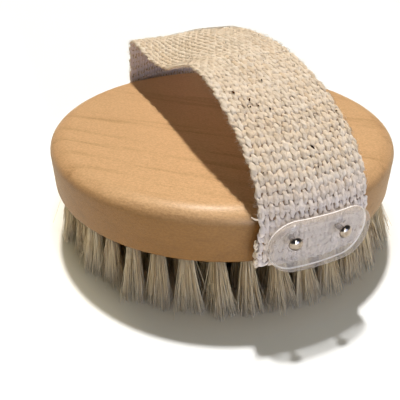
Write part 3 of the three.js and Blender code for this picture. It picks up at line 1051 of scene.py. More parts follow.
@dataclass
class Strap:
    """A length of cotton webbing that arches over the wood, both ends folded in behind it.

    A place on it is (route, across). The route runs over the outer face in seven parts of length one: the
    end folded up behind the front, its turn, the rise to the arch, the arch, and the same down the rear.
    """

    finish: bpy.types.Material
    core_finish: bpy.types.Material
    husk_finish: bpy.types.Material
    seed: int = 5
    wood_radius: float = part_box("wooden_base")[1].x / MM
    wood_top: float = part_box("wooden_base")[1].z / MM
    wood_bottom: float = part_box("wooden_base")[0].z / MM
    width: float = 38.0
    thickness: float = 1.8
    arch_height: float = 30.4
    front_fullness: float = 1.88  # how square the arch's front half is: 2 is an oval
    rear_fullness: float = 2.3
    hem_rise: float = 0.5  # of the fold, over the wood's underside
    hem_length: float = 11.0
    slump_reach: float = 26.0  # how far across from the left edge the arch slumps
    slump_start: float = 0.38  # where that starts, as a share of the arch's way
    slump_blend: float = 0.08  # the share over which it sets in
    slump: tuple[tuple[float, float], ...] = (
        (-0.34, 0.83), (-0.17, 0.92), (0.03, 0.82), (0.2, 0.71), (0.45, 0.66), (0.71, 0.7),
        (0.86, 0.7), (0.91, 0.6), (0.93, 0.4), (0.95, 0.18), (1.0, 0.0))  # shares outwards and upwards
    front_shift: float = -1.0  # of the front along X
    foot_shift: float = -1.0  # more of it, at the front foot alone
    foot_reach: float = 0.18  # how far up the arch that goes, as a share of its way
    fold_skew: float = 6.0  # how far the front's folded end is drawn in at its left
    fold_skew_reach: float = 24.0  # how far across that goes
    bow: float = 1.6  # how far the arch bows to the right between its feet
    bow_place: float = 0.61  # where it bows most, as a share of the way to the rear foot
    covered: float = 6.5  # how far up the arch from its feet the plates come near
    route_parts: int = 7
    arch_route: tuple[int, int] = (3, 4)
    table_steps: int = 1000  # of the table of lengths, in each part
    table_depth: float = 0.55  # under the outer face, where those lengths are measured
    route_step: float = 0.012  # small steps, to find slopes with
    across_step: float = 0.05
    length_step: float = 0.3
    routes: np.ndarray = field(init=False)  # a table of routes, and of lengths along them
    lengths: np.ndarray = field(init=False)

    def __post_init__(self) -> None:
        """Works out the places that follow from the sizes, and the table of lengths."""
        self.hem_top = self.wood_bottom + self.hem_rise + self.hem_length
        self.fold_radius = self.wood_radius + CLEARANCE
        self.outer_radius = self.fold_radius + 2 * self.thickness + CLEARANCE
        self.turn_radius = (self.outer_radius - self.fold_radius) / 2
        self.turn_height = self.wood_bottom + self.hem_rise + self.turn_radius
        self.arch_rise = self.wood_top + self.arch_height - self.hem_top
        self.routes = np.linspace(0, self.route_parts, self.route_parts * self.table_steps + 1)
        middle = self.middle_face(self.routes, np.zeros_like(self.routes), depth=self.table_depth)[0]
        steps = np.linalg.norm(np.diff(middle, axis=0), axis=1)
        self.lengths = np.concatenate([[0], np.cumsum(steps)])

    @property
    def length(self) -> float:
        """Of the whole webbing, ends included."""
        return float(self.lengths[-1])

    @property
    def arch_ends(self) -> np.ndarray:
        """The lengths along the webbing at the arch's front and rear feet."""
        return np.interp(self.arch_route, self.routes, self.lengths)

    def _slumped(self, share: np.ndarray) -> np.ndarray:
        """Follows the slumped edge, a Catmull-Rom curve through its points.

        Args:
            share: of the way from its start to the rear foot.

        Returns:
            The shares outwards and upwards there, along a last axis.
        """
        points = np.array(self.slump)
        place = np.clip(share, 0, 1) * (len(points) - 1)
        step = np.minimum(place.astype(int), len(points) - 2)
        part = (place - step)[..., None]
        a, b, c, d = (points[np.clip(step + k, 0, len(points) - 1)] for k in (-1, 0, 1, 2))
        in_slope, out_slope = (c - a) / 2, (d - b) / 2
        return ((2 * b - 2 * c + in_slope + out_slope) * part ** 3
                + (-3 * b + 3 * c - 2 * in_slope - out_slope) * part ** 2 + in_slope * part + b)

    def _arch(self, along: np.ndarray, across: np.ndarray) -> np.ndarray:
        """Finds points of the outer face over the wood.

        Args:
            along: shares of the arch's way from its front foot.
            across: the places across the strap.

        Returns:
            The points.
        """
        front = along < 0.5
        bow = self.bow * np.sin(math.pi * along ** (math.log(0.5) / math.log(self.bow_place)))
        foot = self.foot_shift * (1 - smoothstep(along, 0, self.foot_reach))
        x = across + self.front_shift * (1 - smoothstep(along)) + foot + bow
        reach = np.sqrt(self.outer_radius ** 2 - x ** 2)
        angle = np.clip(1 - np.abs(2 * along - 1), 0, 1) * math.pi / 2
        power = 2 / np.where(front, self.front_fullness, self.rear_fullness)
        out = reach * np.maximum(np.cos(angle), 0) ** power
        up = self.arch_rise * np.sin(angle) ** power
        plain = np.stack([x, np.where(front, -out, out), self.hem_top + up], axis=-1)
        share = self._slumped((along - self.slump_start) / (1 - self.slump_start))
        slumped = np.stack(
            [x, share[..., 0] * reach, self.hem_top + share[..., 1] * self.arch_rise], axis=-1)
        weight = 1 - smoothstep(across, -self.width / 2, self.slump_reach - self.width / 2)
        weight = weight * smoothstep(along, self.slump_start, self.slump_start + self.slump_blend)
        return plain + (slumped - plain) * weight[..., None]

    def _end(self, route: np.ndarray, across: np.ndarray) -> np.ndarray:
        """Finds points of a folded end's outer face, round the wood's side.

        Args:
            route: the places along the strap.
            across: the places across it.

        Returns:
            The points.
        """
        rear = route > self.route_parts / 2
        part = np.where(rear, self.route_parts - route, route)
        skew = (self.fold_skew * (1 - smoothstep(part, 0, 2))
                * (1 - smoothstep(across, -self.width / 2, self.fold_skew_reach - self.width / 2)))
        x = across + np.where(rear, 0, self.front_shift + self.foot_shift + skew)
        turn = np.clip(part - 1, 0, 1) * math.pi
        radius = self.fold_radius + self.turn_radius * (1 - np.cos(turn))
        upright = self.hem_top - self.turn_height
        height = (self.turn_height - self.turn_radius * np.sin(turn)
                  + upright * (np.clip(1 - part, 0, 1) + np.clip(part - 2, 0, 1)))
        out = np.sqrt(radius ** 2 - x ** 2)
        return np.stack([x, np.where(rear, out, -out), height], axis=-1)

    def outer_face(self, route: np.ndarray, across: np.ndarray) -> np.ndarray:
        """Finds points of the outer face.

        Args:
            route: the places along the strap.
            across: the places across it.

        Returns:
            The points.
        """
        start, stop = self.arch_route
        on_arch = ((route > start) & (route < stop))[..., None]
        return np.where(on_arch, self._arch(np.clip(route - start, 0, 1), across),
                        self._end(route, across))

    def middle_face(self, route: np.ndarray, across: np.ndarray,
                    depth: float | None = None) -> tuple[np.ndarray, np.ndarray]:
        """Finds points at a depth under the outer face.

        Args:
            route: the places along the strap.
            across: the places across it.
            depth: under the outer face, or None for half the thickness.

        Returns:
            The points and the outward normals there.
        """
        before = np.clip(route - self.route_step, 0, self.route_parts)
        after = np.clip(route + self.route_step, 0, self.route_parts)
        onwards = self.outer_face(after, across) - self.outer_face(before, across)
        sideways = (self.outer_face(route, across + self.across_step)
                    - self.outer_face(route, across - self.across_step))
        normal = unit(np.cross(unit(sideways), unit(onwards)))
        inwards = self.thickness / 2 if depth is None else depth
        return self.outer_face(route, across) - inwards * normal, normal

    def at(self, length: np.ndarray, across: np.ndarray) -> tuple[np.ndarray, np.ndarray]:
        """Points of the middle face and the normals there, at lengths along the webbing."""
        return self.middle_face(np.interp(length, self.lengths, self.routes), across)

    def frame(self, length: np.ndarray, across: np.ndarray) -> tuple[np.ndarray, ...]:
        """Finds points of the middle face, and the directions there.

        Args:
            length: the lengths along the webbing.
            across: the places across it.

        Returns:
            The points, and the directions along, aside and outwards.
        """
        middle, normal = self.at(length, across)
        along = unit(self.at(length + self.length_step, across)[0]
                     - self.at(length - self.length_step, across)[0])
        return middle, along, np.cross(along, normal), normal

    def build(self) -> None:
        """Builds and dresses the webbing: its core sheet, warp, weft, husks and loose fibres."""
        rng = np.random.default_rng(self.seed)
        weave = Weave(self)
        core = weave.core()
        yarns = [weave.warp(rng), weave.weft(rng), Lint(self).build(rng), Frays(self).build(rng)]
        husks = Husks(self).build(rng)
        dress(core, self.core_finish, Slot.COTTON, "strap")
        for piece in yarns:
            dress(piece, self.finish, Slot.COTTON)
        dress(husks, self.husk_finish, Slot.COTTON)
        self.width * MM


@dataclass
class Weave:
    """The strap's plain weave: warp yarns, a weft yarn, and a thin core that fills their gaps."""

    strap: Strap
    sides: int = 8  # of a yarn
    plies: int = CottonYarn.plies
    ply_turn: float = CottonYarn.twist_length
    ply_depth: float = 0.2
    roughness: float = 0.05  # of a yarn's surface, as a share of its size
    # The warp
    warps: int = 25
    warp_step: float = 0.455  # between the points of its path
    warp_half_width: float = 0.85  # where a warp yarn floats over the weft
    warp_waist: float = 0.56  # its half width where it dives between
    warp_half_height: float = 0.43
    warp_crimp: float = 0.38
    warp_bias: float = 0.24  # how much longer a warp's floats are on the outer face
    warp_squareness: float = 0.55
    warp_drift: float = 0.1  # across, off its even pitch
    warp_crimp_drift: float = 0.16  # as a share
    warp_size_drift: float = 0.1  # as a share
    warp_tone: float = 0.4
    warp_tone_drift: float = 0.25  # along a yarn
    warp_own_tone: float = 0.15  # from yarn to yarn
    # The weft
    pick_pitch: float = 3.05
    pick_waves: tuple[Triple, ...] = ((0.1, 0.16, 0.045), (0.07, 0.41, -0.11))  # size, turn across, along
    pick_unevenness: float = 0.09  # of the pitch, as a share
    pick_seed: int = 3
    picks_drawn: int = 100  # more than the strap has
    weft_points: int = 96  # in a pick
    weft_half_width: float = 1.1
    weft_half_height: float = 0.36
    weft_crimp: float = 0.24
    weft_knots: int = 12  # of its drift, in a pick
    weft_drift: float = 0.06  # along the strap
    weft_size_knots: int = 8
    weft_size_drift: float = 0.08  # as a share
    weft_tone: float = 0.35
    weft_tone_drift: float = 0.22
    loop_points: int = 9  # of a loop round the edge
    loop_reach: float = 0.75  # past the last warp's middle
    loop_unevenness: float = 0.12
    loop_narrowing: float = 0.5  # as a share
    loop_blend: tuple[float, float] = (-0.4, 0.3)  # where that sets in, past the last warp's middle
    # The core
    core_inset: float = 1.2
    core_end: float = 0.4  # how far it stops short of the strap's ends
    core_steps: tuple[int, int] = (360, 25)  # along and across
    core_thickness: float = 0.3
    # The front's crevices carry painted shade; past its foot, between these, that painted shade fades and the
    # weave turns flat
    gap_shade_ends: tuple[float, float] = (26.0, 72.0)
    gap_shade_cleared: float = 0.6  # the share of the painted shade that is gone there
    flattening: float = 0.4
    # Painted cool light: the front foot and the arch's inner face are tinted cool in colour, for the cool
    # fill that falls on them
    painted_foot_coolness: float = 0.5
    painted_cool_reach: float = 22.0  # how far up the arch from its foot
    painted_cool_blend: float = 2.0  # how far from the arch's ends its inner face takes the painted cool light
    painted_cool_depth: float = 0.5  # under the middle, as a share of half the thickness
    unevenness: np.ndarray = field(init=False)  # how far each pick lies off the even pitch

    def __post_init__(self) -> None:
        """Draws the picks' unevenness."""
        self.unevenness = np.random.default_rng(self.pick_seed).normal(
            0, self.pick_unevenness, self.picks_drawn)

    @property
    def warp_pitch(self) -> float:
        """Between the middles of two warp yarns."""
        return (self.strap.width - 2 * self.loop_reach) / self.warps

    @property
    def last_warp(self) -> float:
        """How far across the middle of the last warp yarn is."""
        return (self.warps - 1) / 2 * self.warp_pitch

    def _flat_and_unshaded(self, length: np.ndarray) -> np.ndarray:
        """How flat the weave is, and how far its painted shade has faded, at lengths along it, from 0 at the
        front to 1.
        """
        foot = self.strap.arch_ends[0]
        return smoothstep(length, foot + self.gap_shade_ends[0], foot + self.gap_shade_ends[1])

    def _pick_drift(self, length: np.ndarray, across: np.ndarray) -> np.ndarray:
        """Works out how far the weft lies off its even pitch: it is bowed and uneven.

        Args:
            length: the lengths along the webbing.
            across: the places across it.

        Returns:
            The distances, in picks.
        """
        bow = sum(size * np.sin(across * sideways + length * onwards)
                  for size, sideways, onwards in self.pick_waves)
        return bow + np.interp(length / self.pick_pitch, np.arange(len(self.unevenness)), self.unevenness)

    def _twist(self, rng: np.random.Generator, paths: np.ndarray) -> np.ndarray:
        """Works out how far the corners of plied yarns stand out, over a plain oval.

        Args:
            rng: the source of random numbers.
            paths: the yarns' paths.

        Returns:
            An array of yarns by points by sides.
        """
        step = np.linalg.norm(np.diff(paths, axis=1), axis=2)
        along = np.concatenate([np.zeros((len(paths), 1)), np.cumsum(step, axis=1)], axis=1)
        turn = np.arange(self.sides) * math.tau / self.sides
        wind = self.plies * turn - math.tau * along[..., None] / self.ply_turn
        return 1 + self.ply_depth * np.cos(wind) + rng.normal(0, self.roughness, wind.shape)

    def core(self) -> Piece:
        """Builds the thin sheet that fills the weave's gaps. Its darker colour, darkest at the front, is
        painted shade in those gaps.

        Returns:
            The sheet.
        """
        rows, columns = self.core_steps
        lengths = np.linspace(self.core_end, self.strap.length - self.core_end, rows)
        half = self.strap.width / 2 - self.core_inset
        across = np.linspace(-half, half, columns)
        grid = self.strap.at(*np.meshgrid(lengths, across, indexing="ij"))[0] * MM
        index = np.arange(rows * columns).reshape(rows, columns)
        quads = np.stack([index[:-1, :-1], index[:-1, 1:], index[1:, 1:], index[1:, :-1]], axis=-1)
        mesh = bpy.data.meshes.new("webbing_core")
        mesh.from_pydata(grid.reshape(-1, 3).tolist(), [], quads.reshape(-1, 4).tolist())
        mesh.shade_smooth()
        # painted shade of the gaps: darkest at the front, fading past the foot
        painted_gap_shade = mesh.attributes.new("tone", "FLOAT", "POINT")
        painted_gap_shade.data.foreach_set("value", np.repeat(1 - self._flat_and_unshaded(lengths), columns))
        core = bpy.data.objects.new("webbing_core", mesh)
        bpy.context.scene.collection.objects.link(core)
        apply_modifier(core, "SOLIDIFY", thickness=self.core_thickness * MM, offset=0.0)
        return core

    def warp(self, rng: np.random.Generator) -> Piece:
        """Builds the yarns that run along the strap.

        Args:
            rng: the source of random numbers.

        Returns:
            The yarns, as one piece.
        """
        points = round(self.strap.length / self.warp_step)
        floats = round(self.strap.length / self.pick_pitch)
        lengths = np.broadcast_to(np.linspace(0, self.strap.length, points), (self.warps, points))
        numbers = np.arange(self.warps)[:, None]
        across = ((numbers - (self.warps - 1) / 2) * self.warp_pitch
                  + wander(rng, self.warps, points, floats, self.warp_drift))
        wave = np.cos(math.pi * (lengths / self.pick_pitch + self._pick_drift(lengths, across) + numbers))
        wave = (wave + self.warp_bias) / (1 + self.warp_bias)
        phase = np.sign(wave) * np.abs(wave) ** self.warp_squareness
        crimp = self.warp_crimp * (1 + wander(rng, self.warps, points, floats, self.warp_crimp_drift))
        lift = crimp * phase * (1 - self.flattening * self._flat_and_unshaded(lengths))
        plump = 1 + wander(rng, self.warps, points, floats, self.warp_size_drift)
        wide = plump * (self.warp_waist + (self.warp_half_width - self.warp_waist) * np.abs(phase))
        yarn = self._laid(rng, lengths, across, lift, wide, self.warp_half_height * plump)
        tone = self.warp_tone + wander(rng, self.warps, points, floats // 3, self.warp_tone_drift)
        tone = tone + rng.normal(0, self.warp_own_tone, (self.warps, 1))
        return self._with_painted_light("webbing_warp", yarn, lengths, lift, tone)

    def weft(self, rng: np.random.Generator) -> Piece:
        """Builds the yarn that runs back and forth across the strap and loops round its edges.

        Args:
            rng: the source of random numbers.

        Returns:
            The yarn.
        """
        picks = int(self.strap.length / self.pick_pitch) - 1
        laid = [self._pick(rng, pick) for pick in range(1, picks)]
        lengths, across, lift = (np.concatenate(part)[None] for part in zip(*laid))
        points = lengths.shape[1]
        plump = 1 + wander(rng, 1, points, picks * self.weft_size_knots, self.weft_size_drift)
        at_edge = smoothstep(np.abs(across), *(self.last_warp + past for past in self.loop_blend))
        wide = self.weft_half_width * plump * (1 - self.loop_narrowing * at_edge)
        yarn = self._laid(rng, lengths, across, lift, wide, self.weft_half_height * plump)
        tone = self.weft_tone + wander(rng, 1, points, picks, self.weft_tone_drift)
        return self._with_painted_light("webbing_weft", yarn, lengths, lift, tone)

    def _pick(self, rng: np.random.Generator, pick: int) -> tuple[np.ndarray, ...]:
        """Lays the weft once across the strap, and round the edge in a loop.

        Args:
            rng: the source of random numbers.
            pick: which pick it is.

        Returns:
            Its points' lengths along the strap, places across it, and lifts.
        """
        forwards = 1 if pick % 2 == 0 else -1
        place = np.linspace(-self.last_warp, self.last_warp, self.weft_points) * forwards
        drift = self._pick_drift(np.full(self.weft_points, pick * self.pick_pitch), place)
        length = ((pick - drift) * self.pick_pitch
                  + wander(rng, 1, self.weft_points, self.weft_knots, self.weft_drift)[0])
        wave = np.cos(math.pi * (place + self.last_warp) / self.warp_pitch + math.pi * pick)
        lift = -self.weft_crimp * wave
        turn = np.linspace(0, math.pi, self.loop_points + 2)[1:-1]
        reach = self.loop_reach + rng.normal(0, self.loop_unevenness)
        loop = ((pick + 0.5 - 0.5 * np.cos(turn)) * self.pick_pitch,
                forwards * (self.last_warp + reach * np.sin(turn)), lift[-1] * np.cos(turn))
        return tuple(np.concatenate(parts) for parts in zip((length, place, lift), loop))

    def _laid(self, rng: np.random.Generator, lengths: np.ndarray, across: np.ndarray, lift: np.ndarray,
              wide: np.ndarray, high: np.ndarray) -> Rods:
        """Lays yarns in the strap.

        Args:
            rng: the source of random numbers.
            lengths: of the yarns' points, along the strap.
            across: their places across it.
            lift: how far they stand out of its middle face.
            wide: the yarns' half widths there.
            high: their half heights.

        Returns:
            The yarns.
        """
        middle, normal = self.strap.at(lengths, across)
        paths = middle + lift[..., None] * normal
        return Rods(paths, normal, wide, high, self.sides, self._twist(rng, paths))

    def _with_painted_light(self, name: str, yarn: Rods, lengths: np.ndarray, lift: np.ndarray,
                tone: np.ndarray) -> Piece:
        """Builds yarns with their tone, and with the painted cool light and the painted shade in the crevices
        at their corners.

        Args:
            name: of the piece.
            yarn: the yarns.
            lengths: of their points, along the strap.
            lift: how far those stand out of its middle face.
            tone: from 0, pale, to 1, warm.

        Returns:
            The piece.
        """
        high = np.broadcast_to(yarn.half_height, lift.shape)[..., None]
        high = high * np.sin(np.arange(self.sides) * math.tau / self.sides)
        height = (lift[..., None] + high) / (self.strap.thickness / 2)
        first, last = self.strap.arch_ends
        # painted cool light at the front foot and on the arch's inner face
        foot = self.painted_foot_coolness * smoothstep(-lengths, -first - self.painted_cool_reach, -first)
        on_arch = (smoothstep(lengths, first, first + self.painted_cool_blend)
                   * smoothstep(-lengths, -last, self.painted_cool_blend - last))
        inner = smoothstep(-height, 0.0, self.painted_cool_depth) * on_arch[..., None]
        # painted shade in the crevices, fading past the front foot
        painted_gap_shade = (1 - np.clip(np.abs(height), 0, 1)) * (1 - self.gap_shade_cleared * self._flat_and_unshaded(lengths))[..., None]
        return yarn.piece(name, tone=np.clip(tone, 0, 1)[..., None],
                          cool=np.maximum(inner, foot[..., None]), crevice=painted_gap_shade)


@dataclass
class Lint:
    """Fibres that stand out of the cotton: over both faces, and thickest along the edges."""

    strap: Strap
    on_faces: int = 3400
    on_edges: int = 600
    outer_share: float = 0.75  # of the fibres, for the outer face
    radius: float = 0.036
    sizes: tuple[float, float] = (0.7, 1.2)  # over that radius
    taper: tuple[float, ...] = (0.5, 1.0, 1.0, 1.0, 0.5)
    sides: int = 3
    reach: tuple[float, float] = (0.45, 1.25)  # half a fibre's length
    curl: float = 0.4  # as a share of its reach
    hump: tuple[float, float] = (0.05, 0.4)  # how high its middle stands over its ends
    face_depths: tuple[float, float] = (0.72, 0.98)  # of its ends, as shares of half the thickness
    edge_depths: tuple[float, float] = (-0.6, 0.7)
    edge_turn: float = 0.7  # how far a fibre at an edge strays from straight outwards
    inset: float = 0.4  # from the edges
    tones: tuple[float, float] = (0.0, 0.5)

    def build(self, rng: np.random.Generator) -> Piece:
        """Builds the fibres.

        Args:
            rng: the source of random numbers.

        Returns:
            The fibres, as one piece.
        """
        count = self.on_faces + self.on_edges
        first, last = self.strap.arch_ends
        length = rng.uniform(first + self.strap.covered, last - self.strap.covered, count)
        half = self.strap.width / 2 - self.inset
        edge = np.where(np.arange(count) < self.on_faces, 0.0, rng.choice((-1.0, 1.0), count))
        across = np.where(edge == 0, rng.uniform(-half, half, count), edge * half)
        middle, along, aside, normal = self.strap.frame(length, across)
        face = np.where(rng.uniform(0, 1, count) < self.outer_share, 1.0, -1.0)
        heading = np.where(edge == 0, rng.uniform(0, math.tau, count),
                           math.pi / 2 * edge + rng.normal(0, self.edge_turn, count))
        ahead = np.cos(heading)[:, None] * along + np.sin(heading)[:, None] * aside
        reach = rng.uniform(*self.reach, count)
        curl = rng.normal(0, self.curl, count) * reach
        depth = np.where(edge == 0, rng.uniform(*self.face_depths, count),
                         rng.uniform(*self.edge_depths, count))
        hump = rng.uniform(*self.hump, count)
        share = np.linspace(-1, 1, len(self.taper))
        rise = self.strap.thickness / 2 * depth[:, None] + hump[:, None] * (1 - share ** 2)
        paths = (middle[:, None] + (reach[:, None] * share)[..., None] * ahead[:, None]
                 + (curl[:, None] * share ** 2)[..., None] * np.cross(normal, ahead)[:, None]
                 + (face[:, None] * rise)[..., None] * normal[:, None])
        thin = self.radius * rng.uniform(*self.sizes, (count, 1)) * np.array(self.taper)
        facing = np.broadcast_to(normal[:, None], paths.shape)
        tone = rng.uniform(*self.tones, (count, 1, 1))
        return Rods(paths, facing, thin, thin, self.sides).piece(
            "webbing_lint", tone=tone, crevice=np.array(0.0))


@dataclass
class Husks:
    """Specks of seed husk in the cotton: large ones in their places, and small ones anywhere."""

    strap: Strap
    large: tuple[Triple, ...] = (
        (-1.5, 52.5, 0.6), (-13.0, 48.5, 0.7), (-9.5, 44.5, 0.75), (-8.0, 41.5, 0.5), (-10.5, 41.5, 0.4),
        (-5.0, 39.5, 0.6), (-13.5, 38.5, 0.4), (16.5, 33.5, 0.45), (17.0, 29.0, 0.4), (2.0, 24.0, 0.8),
        (1.5, 18.0, 0.4), (-8.5, 14.5, 0.45))  # across, past the arch's front foot, half length
    small: int = 46
    small_half_lengths: tuple[float, float] = (0.16, 0.3)
    half_widths: tuple[float, float] = (0.4, 0.6)  # as shares of the half length
    flatness: float = 0.6  # its height over its width
    turn: float = 0.5  # how far husks stray from the warp's way
    sections: tuple[float, ...] = (-1.0, -0.6, 0.0, 0.6, 1.0)  # along a husk, over its half length
    outline: tuple[float, ...] = (0.25, 0.8, 1.0, 0.8, 0.25)  # its width there, as a share
    sides: int = 6
    rise: float = 1.02  # of its middle, over half the strap's thickness
    dip: float = 0.12  # of its ends
    inset: float = 1.5  # from the strap's edges
    rear_gap: float = 8.0  # from the arch's rear foot

    def build(self, rng: np.random.Generator) -> Piece:
        """Builds the husks.

        Args:
            rng: the source of random numbers.

        Returns:
            The husks, as one piece.
        """
        first, last = self.strap.arch_ends
        places = [(across, first + past, size) for across, past, size in self.large]
        half = self.strap.width / 2 - self.inset
        places += [(rng.uniform(-half, half),
                    rng.uniform(first + self.strap.covered, last - self.rear_gap),
                    rng.uniform(*self.small_half_lengths)) for _ in range(self.small)]
        across, length, size = (np.array(part) for part in zip(*places))
        middle, along, aside, normal = self.strap.frame(length, across)
        heading = rng.normal(0, self.turn, len(places))[:, None]
        ahead = np.cos(heading) * along + np.sin(heading) * aside
        share = np.array(self.sections)
        rise = self.strap.thickness / 2 * self.rise - self.dip * share ** 2
        paths = (middle[:, None] + (size[:, None] * share)[..., None] * ahead[:, None]
                 + rise[:, None] * normal[:, None])
        wide = size[:, None] * rng.uniform(*self.half_widths, (len(places), 1)) * np.array(self.outline)
        facing = np.broadcast_to(normal[:, None], paths.shape)
        tone = rng.uniform(0, 1, (len(places), 1, 1))
        return Rods(paths, facing, wide, wide * self.flatness, self.sides).piece("webbing_husks", tone=tone)


@dataclass
class Frays:
    """The frayed left edge of the strap's front end, in loops, and one loose thread over it."""

    strap: Strap
    start: float = 0.6  # of the first, from the strap's front end
    stop: float = 2.5  # before the arch's front foot
    pitch: float = 0.8
    unevenness: float = 0.3  # of the pitch
    lengths: tuple[float, float] = (1.5, 2.3)
    reaches: tuple[float, float] = (0.1, 0.8)  # past the edge
    fullness: float = 0.7
    lifts: tuple[float, float] = (-0.6, 0.7)  # out of the strap's middle face
    slant: float = 0.3
    radii: tuple[float, float] = (0.36, 0.5)
    inset: float = 0.5  # from the edge
    points: int = 10
    sides: int = 6
    roughness: float = 0.08
    tone: float = 0.3
    thread_place: float = 6.0  # past the arch's front foot
    thread_length: float = 2.0
    thread_slant: float = 0.9
    thread_rise: tuple[float, float] = (0.3, 0.5)  # at its root, and its swing from there
    thread_swing: float = 2.4  # as an angle
    thread_radii: tuple[float, float] = (0.3, 0.18)

    def build(self, rng: np.random.Generator) -> Piece:
        """Builds the frays.

        Args:
            rng: the source of random numbers.

        Returns:
            The frays, as one piece.
        """
        foot = float(self.strap.arch_ends[0])
        share = np.linspace(0, 1, self.points)
        edge = self.inset - self.strap.width / 2
        paths, radii = [], []
        for start in np.arange(self.start, foot - self.stop, self.pitch):
            length = (start + rng.uniform(-self.unevenness, self.unevenness)
                      + rng.uniform(*self.lengths) * share)
            across = edge - rng.uniform(*self.reaches) * np.sin(math.pi * share) ** self.fullness
            middle, _, _, normal = self.strap.frame(length, across)
            lift = rng.uniform(*self.lifts) + rng.normal(0, self.slant) * share
            paths.append(middle + lift[:, None] * normal)
            radii.append(rng.uniform(*self.radii) * np.ones(self.points))
        paths.append(self._thread(foot + self.thread_place, edge, share))
        radii.append(np.linspace(*self.thread_radii, self.points))
        paths, radii = np.array(paths), np.array(radii)
        facing = np.broadcast_to(np.array([0.0, 0.0, 1.0]), paths.shape)
        swell = 1 + rng.normal(0, self.roughness, (*radii.shape, self.sides))
        return Rods(paths, facing, radii, radii, self.sides, swell).piece(
            "webbing_frays", tone=np.array(self.tone), crevice=np.array(0.0))

    def _thread(self, length: float, across: float, share: np.ndarray) -> np.ndarray:
        """Lays the loose thread.

        Args:
            length: of its root, along the strap.
            across: its root's place across.
            share: of its points, along the thread.

        Returns:
            Its path.
        """
        root, along, aside, normal = self.strap.frame(np.array([length]), np.array([across]))
        path = root - (self.thread_length * share[:, None]) * aside
        path = path + (self.thread_slant * share[:, None] ** 2) * along
        rise, swing = self.thread_rise
        return path + (rise + swing * np.sin(self.thread_swing * share))[:, None] * normal


# ---- Plates and nails ----


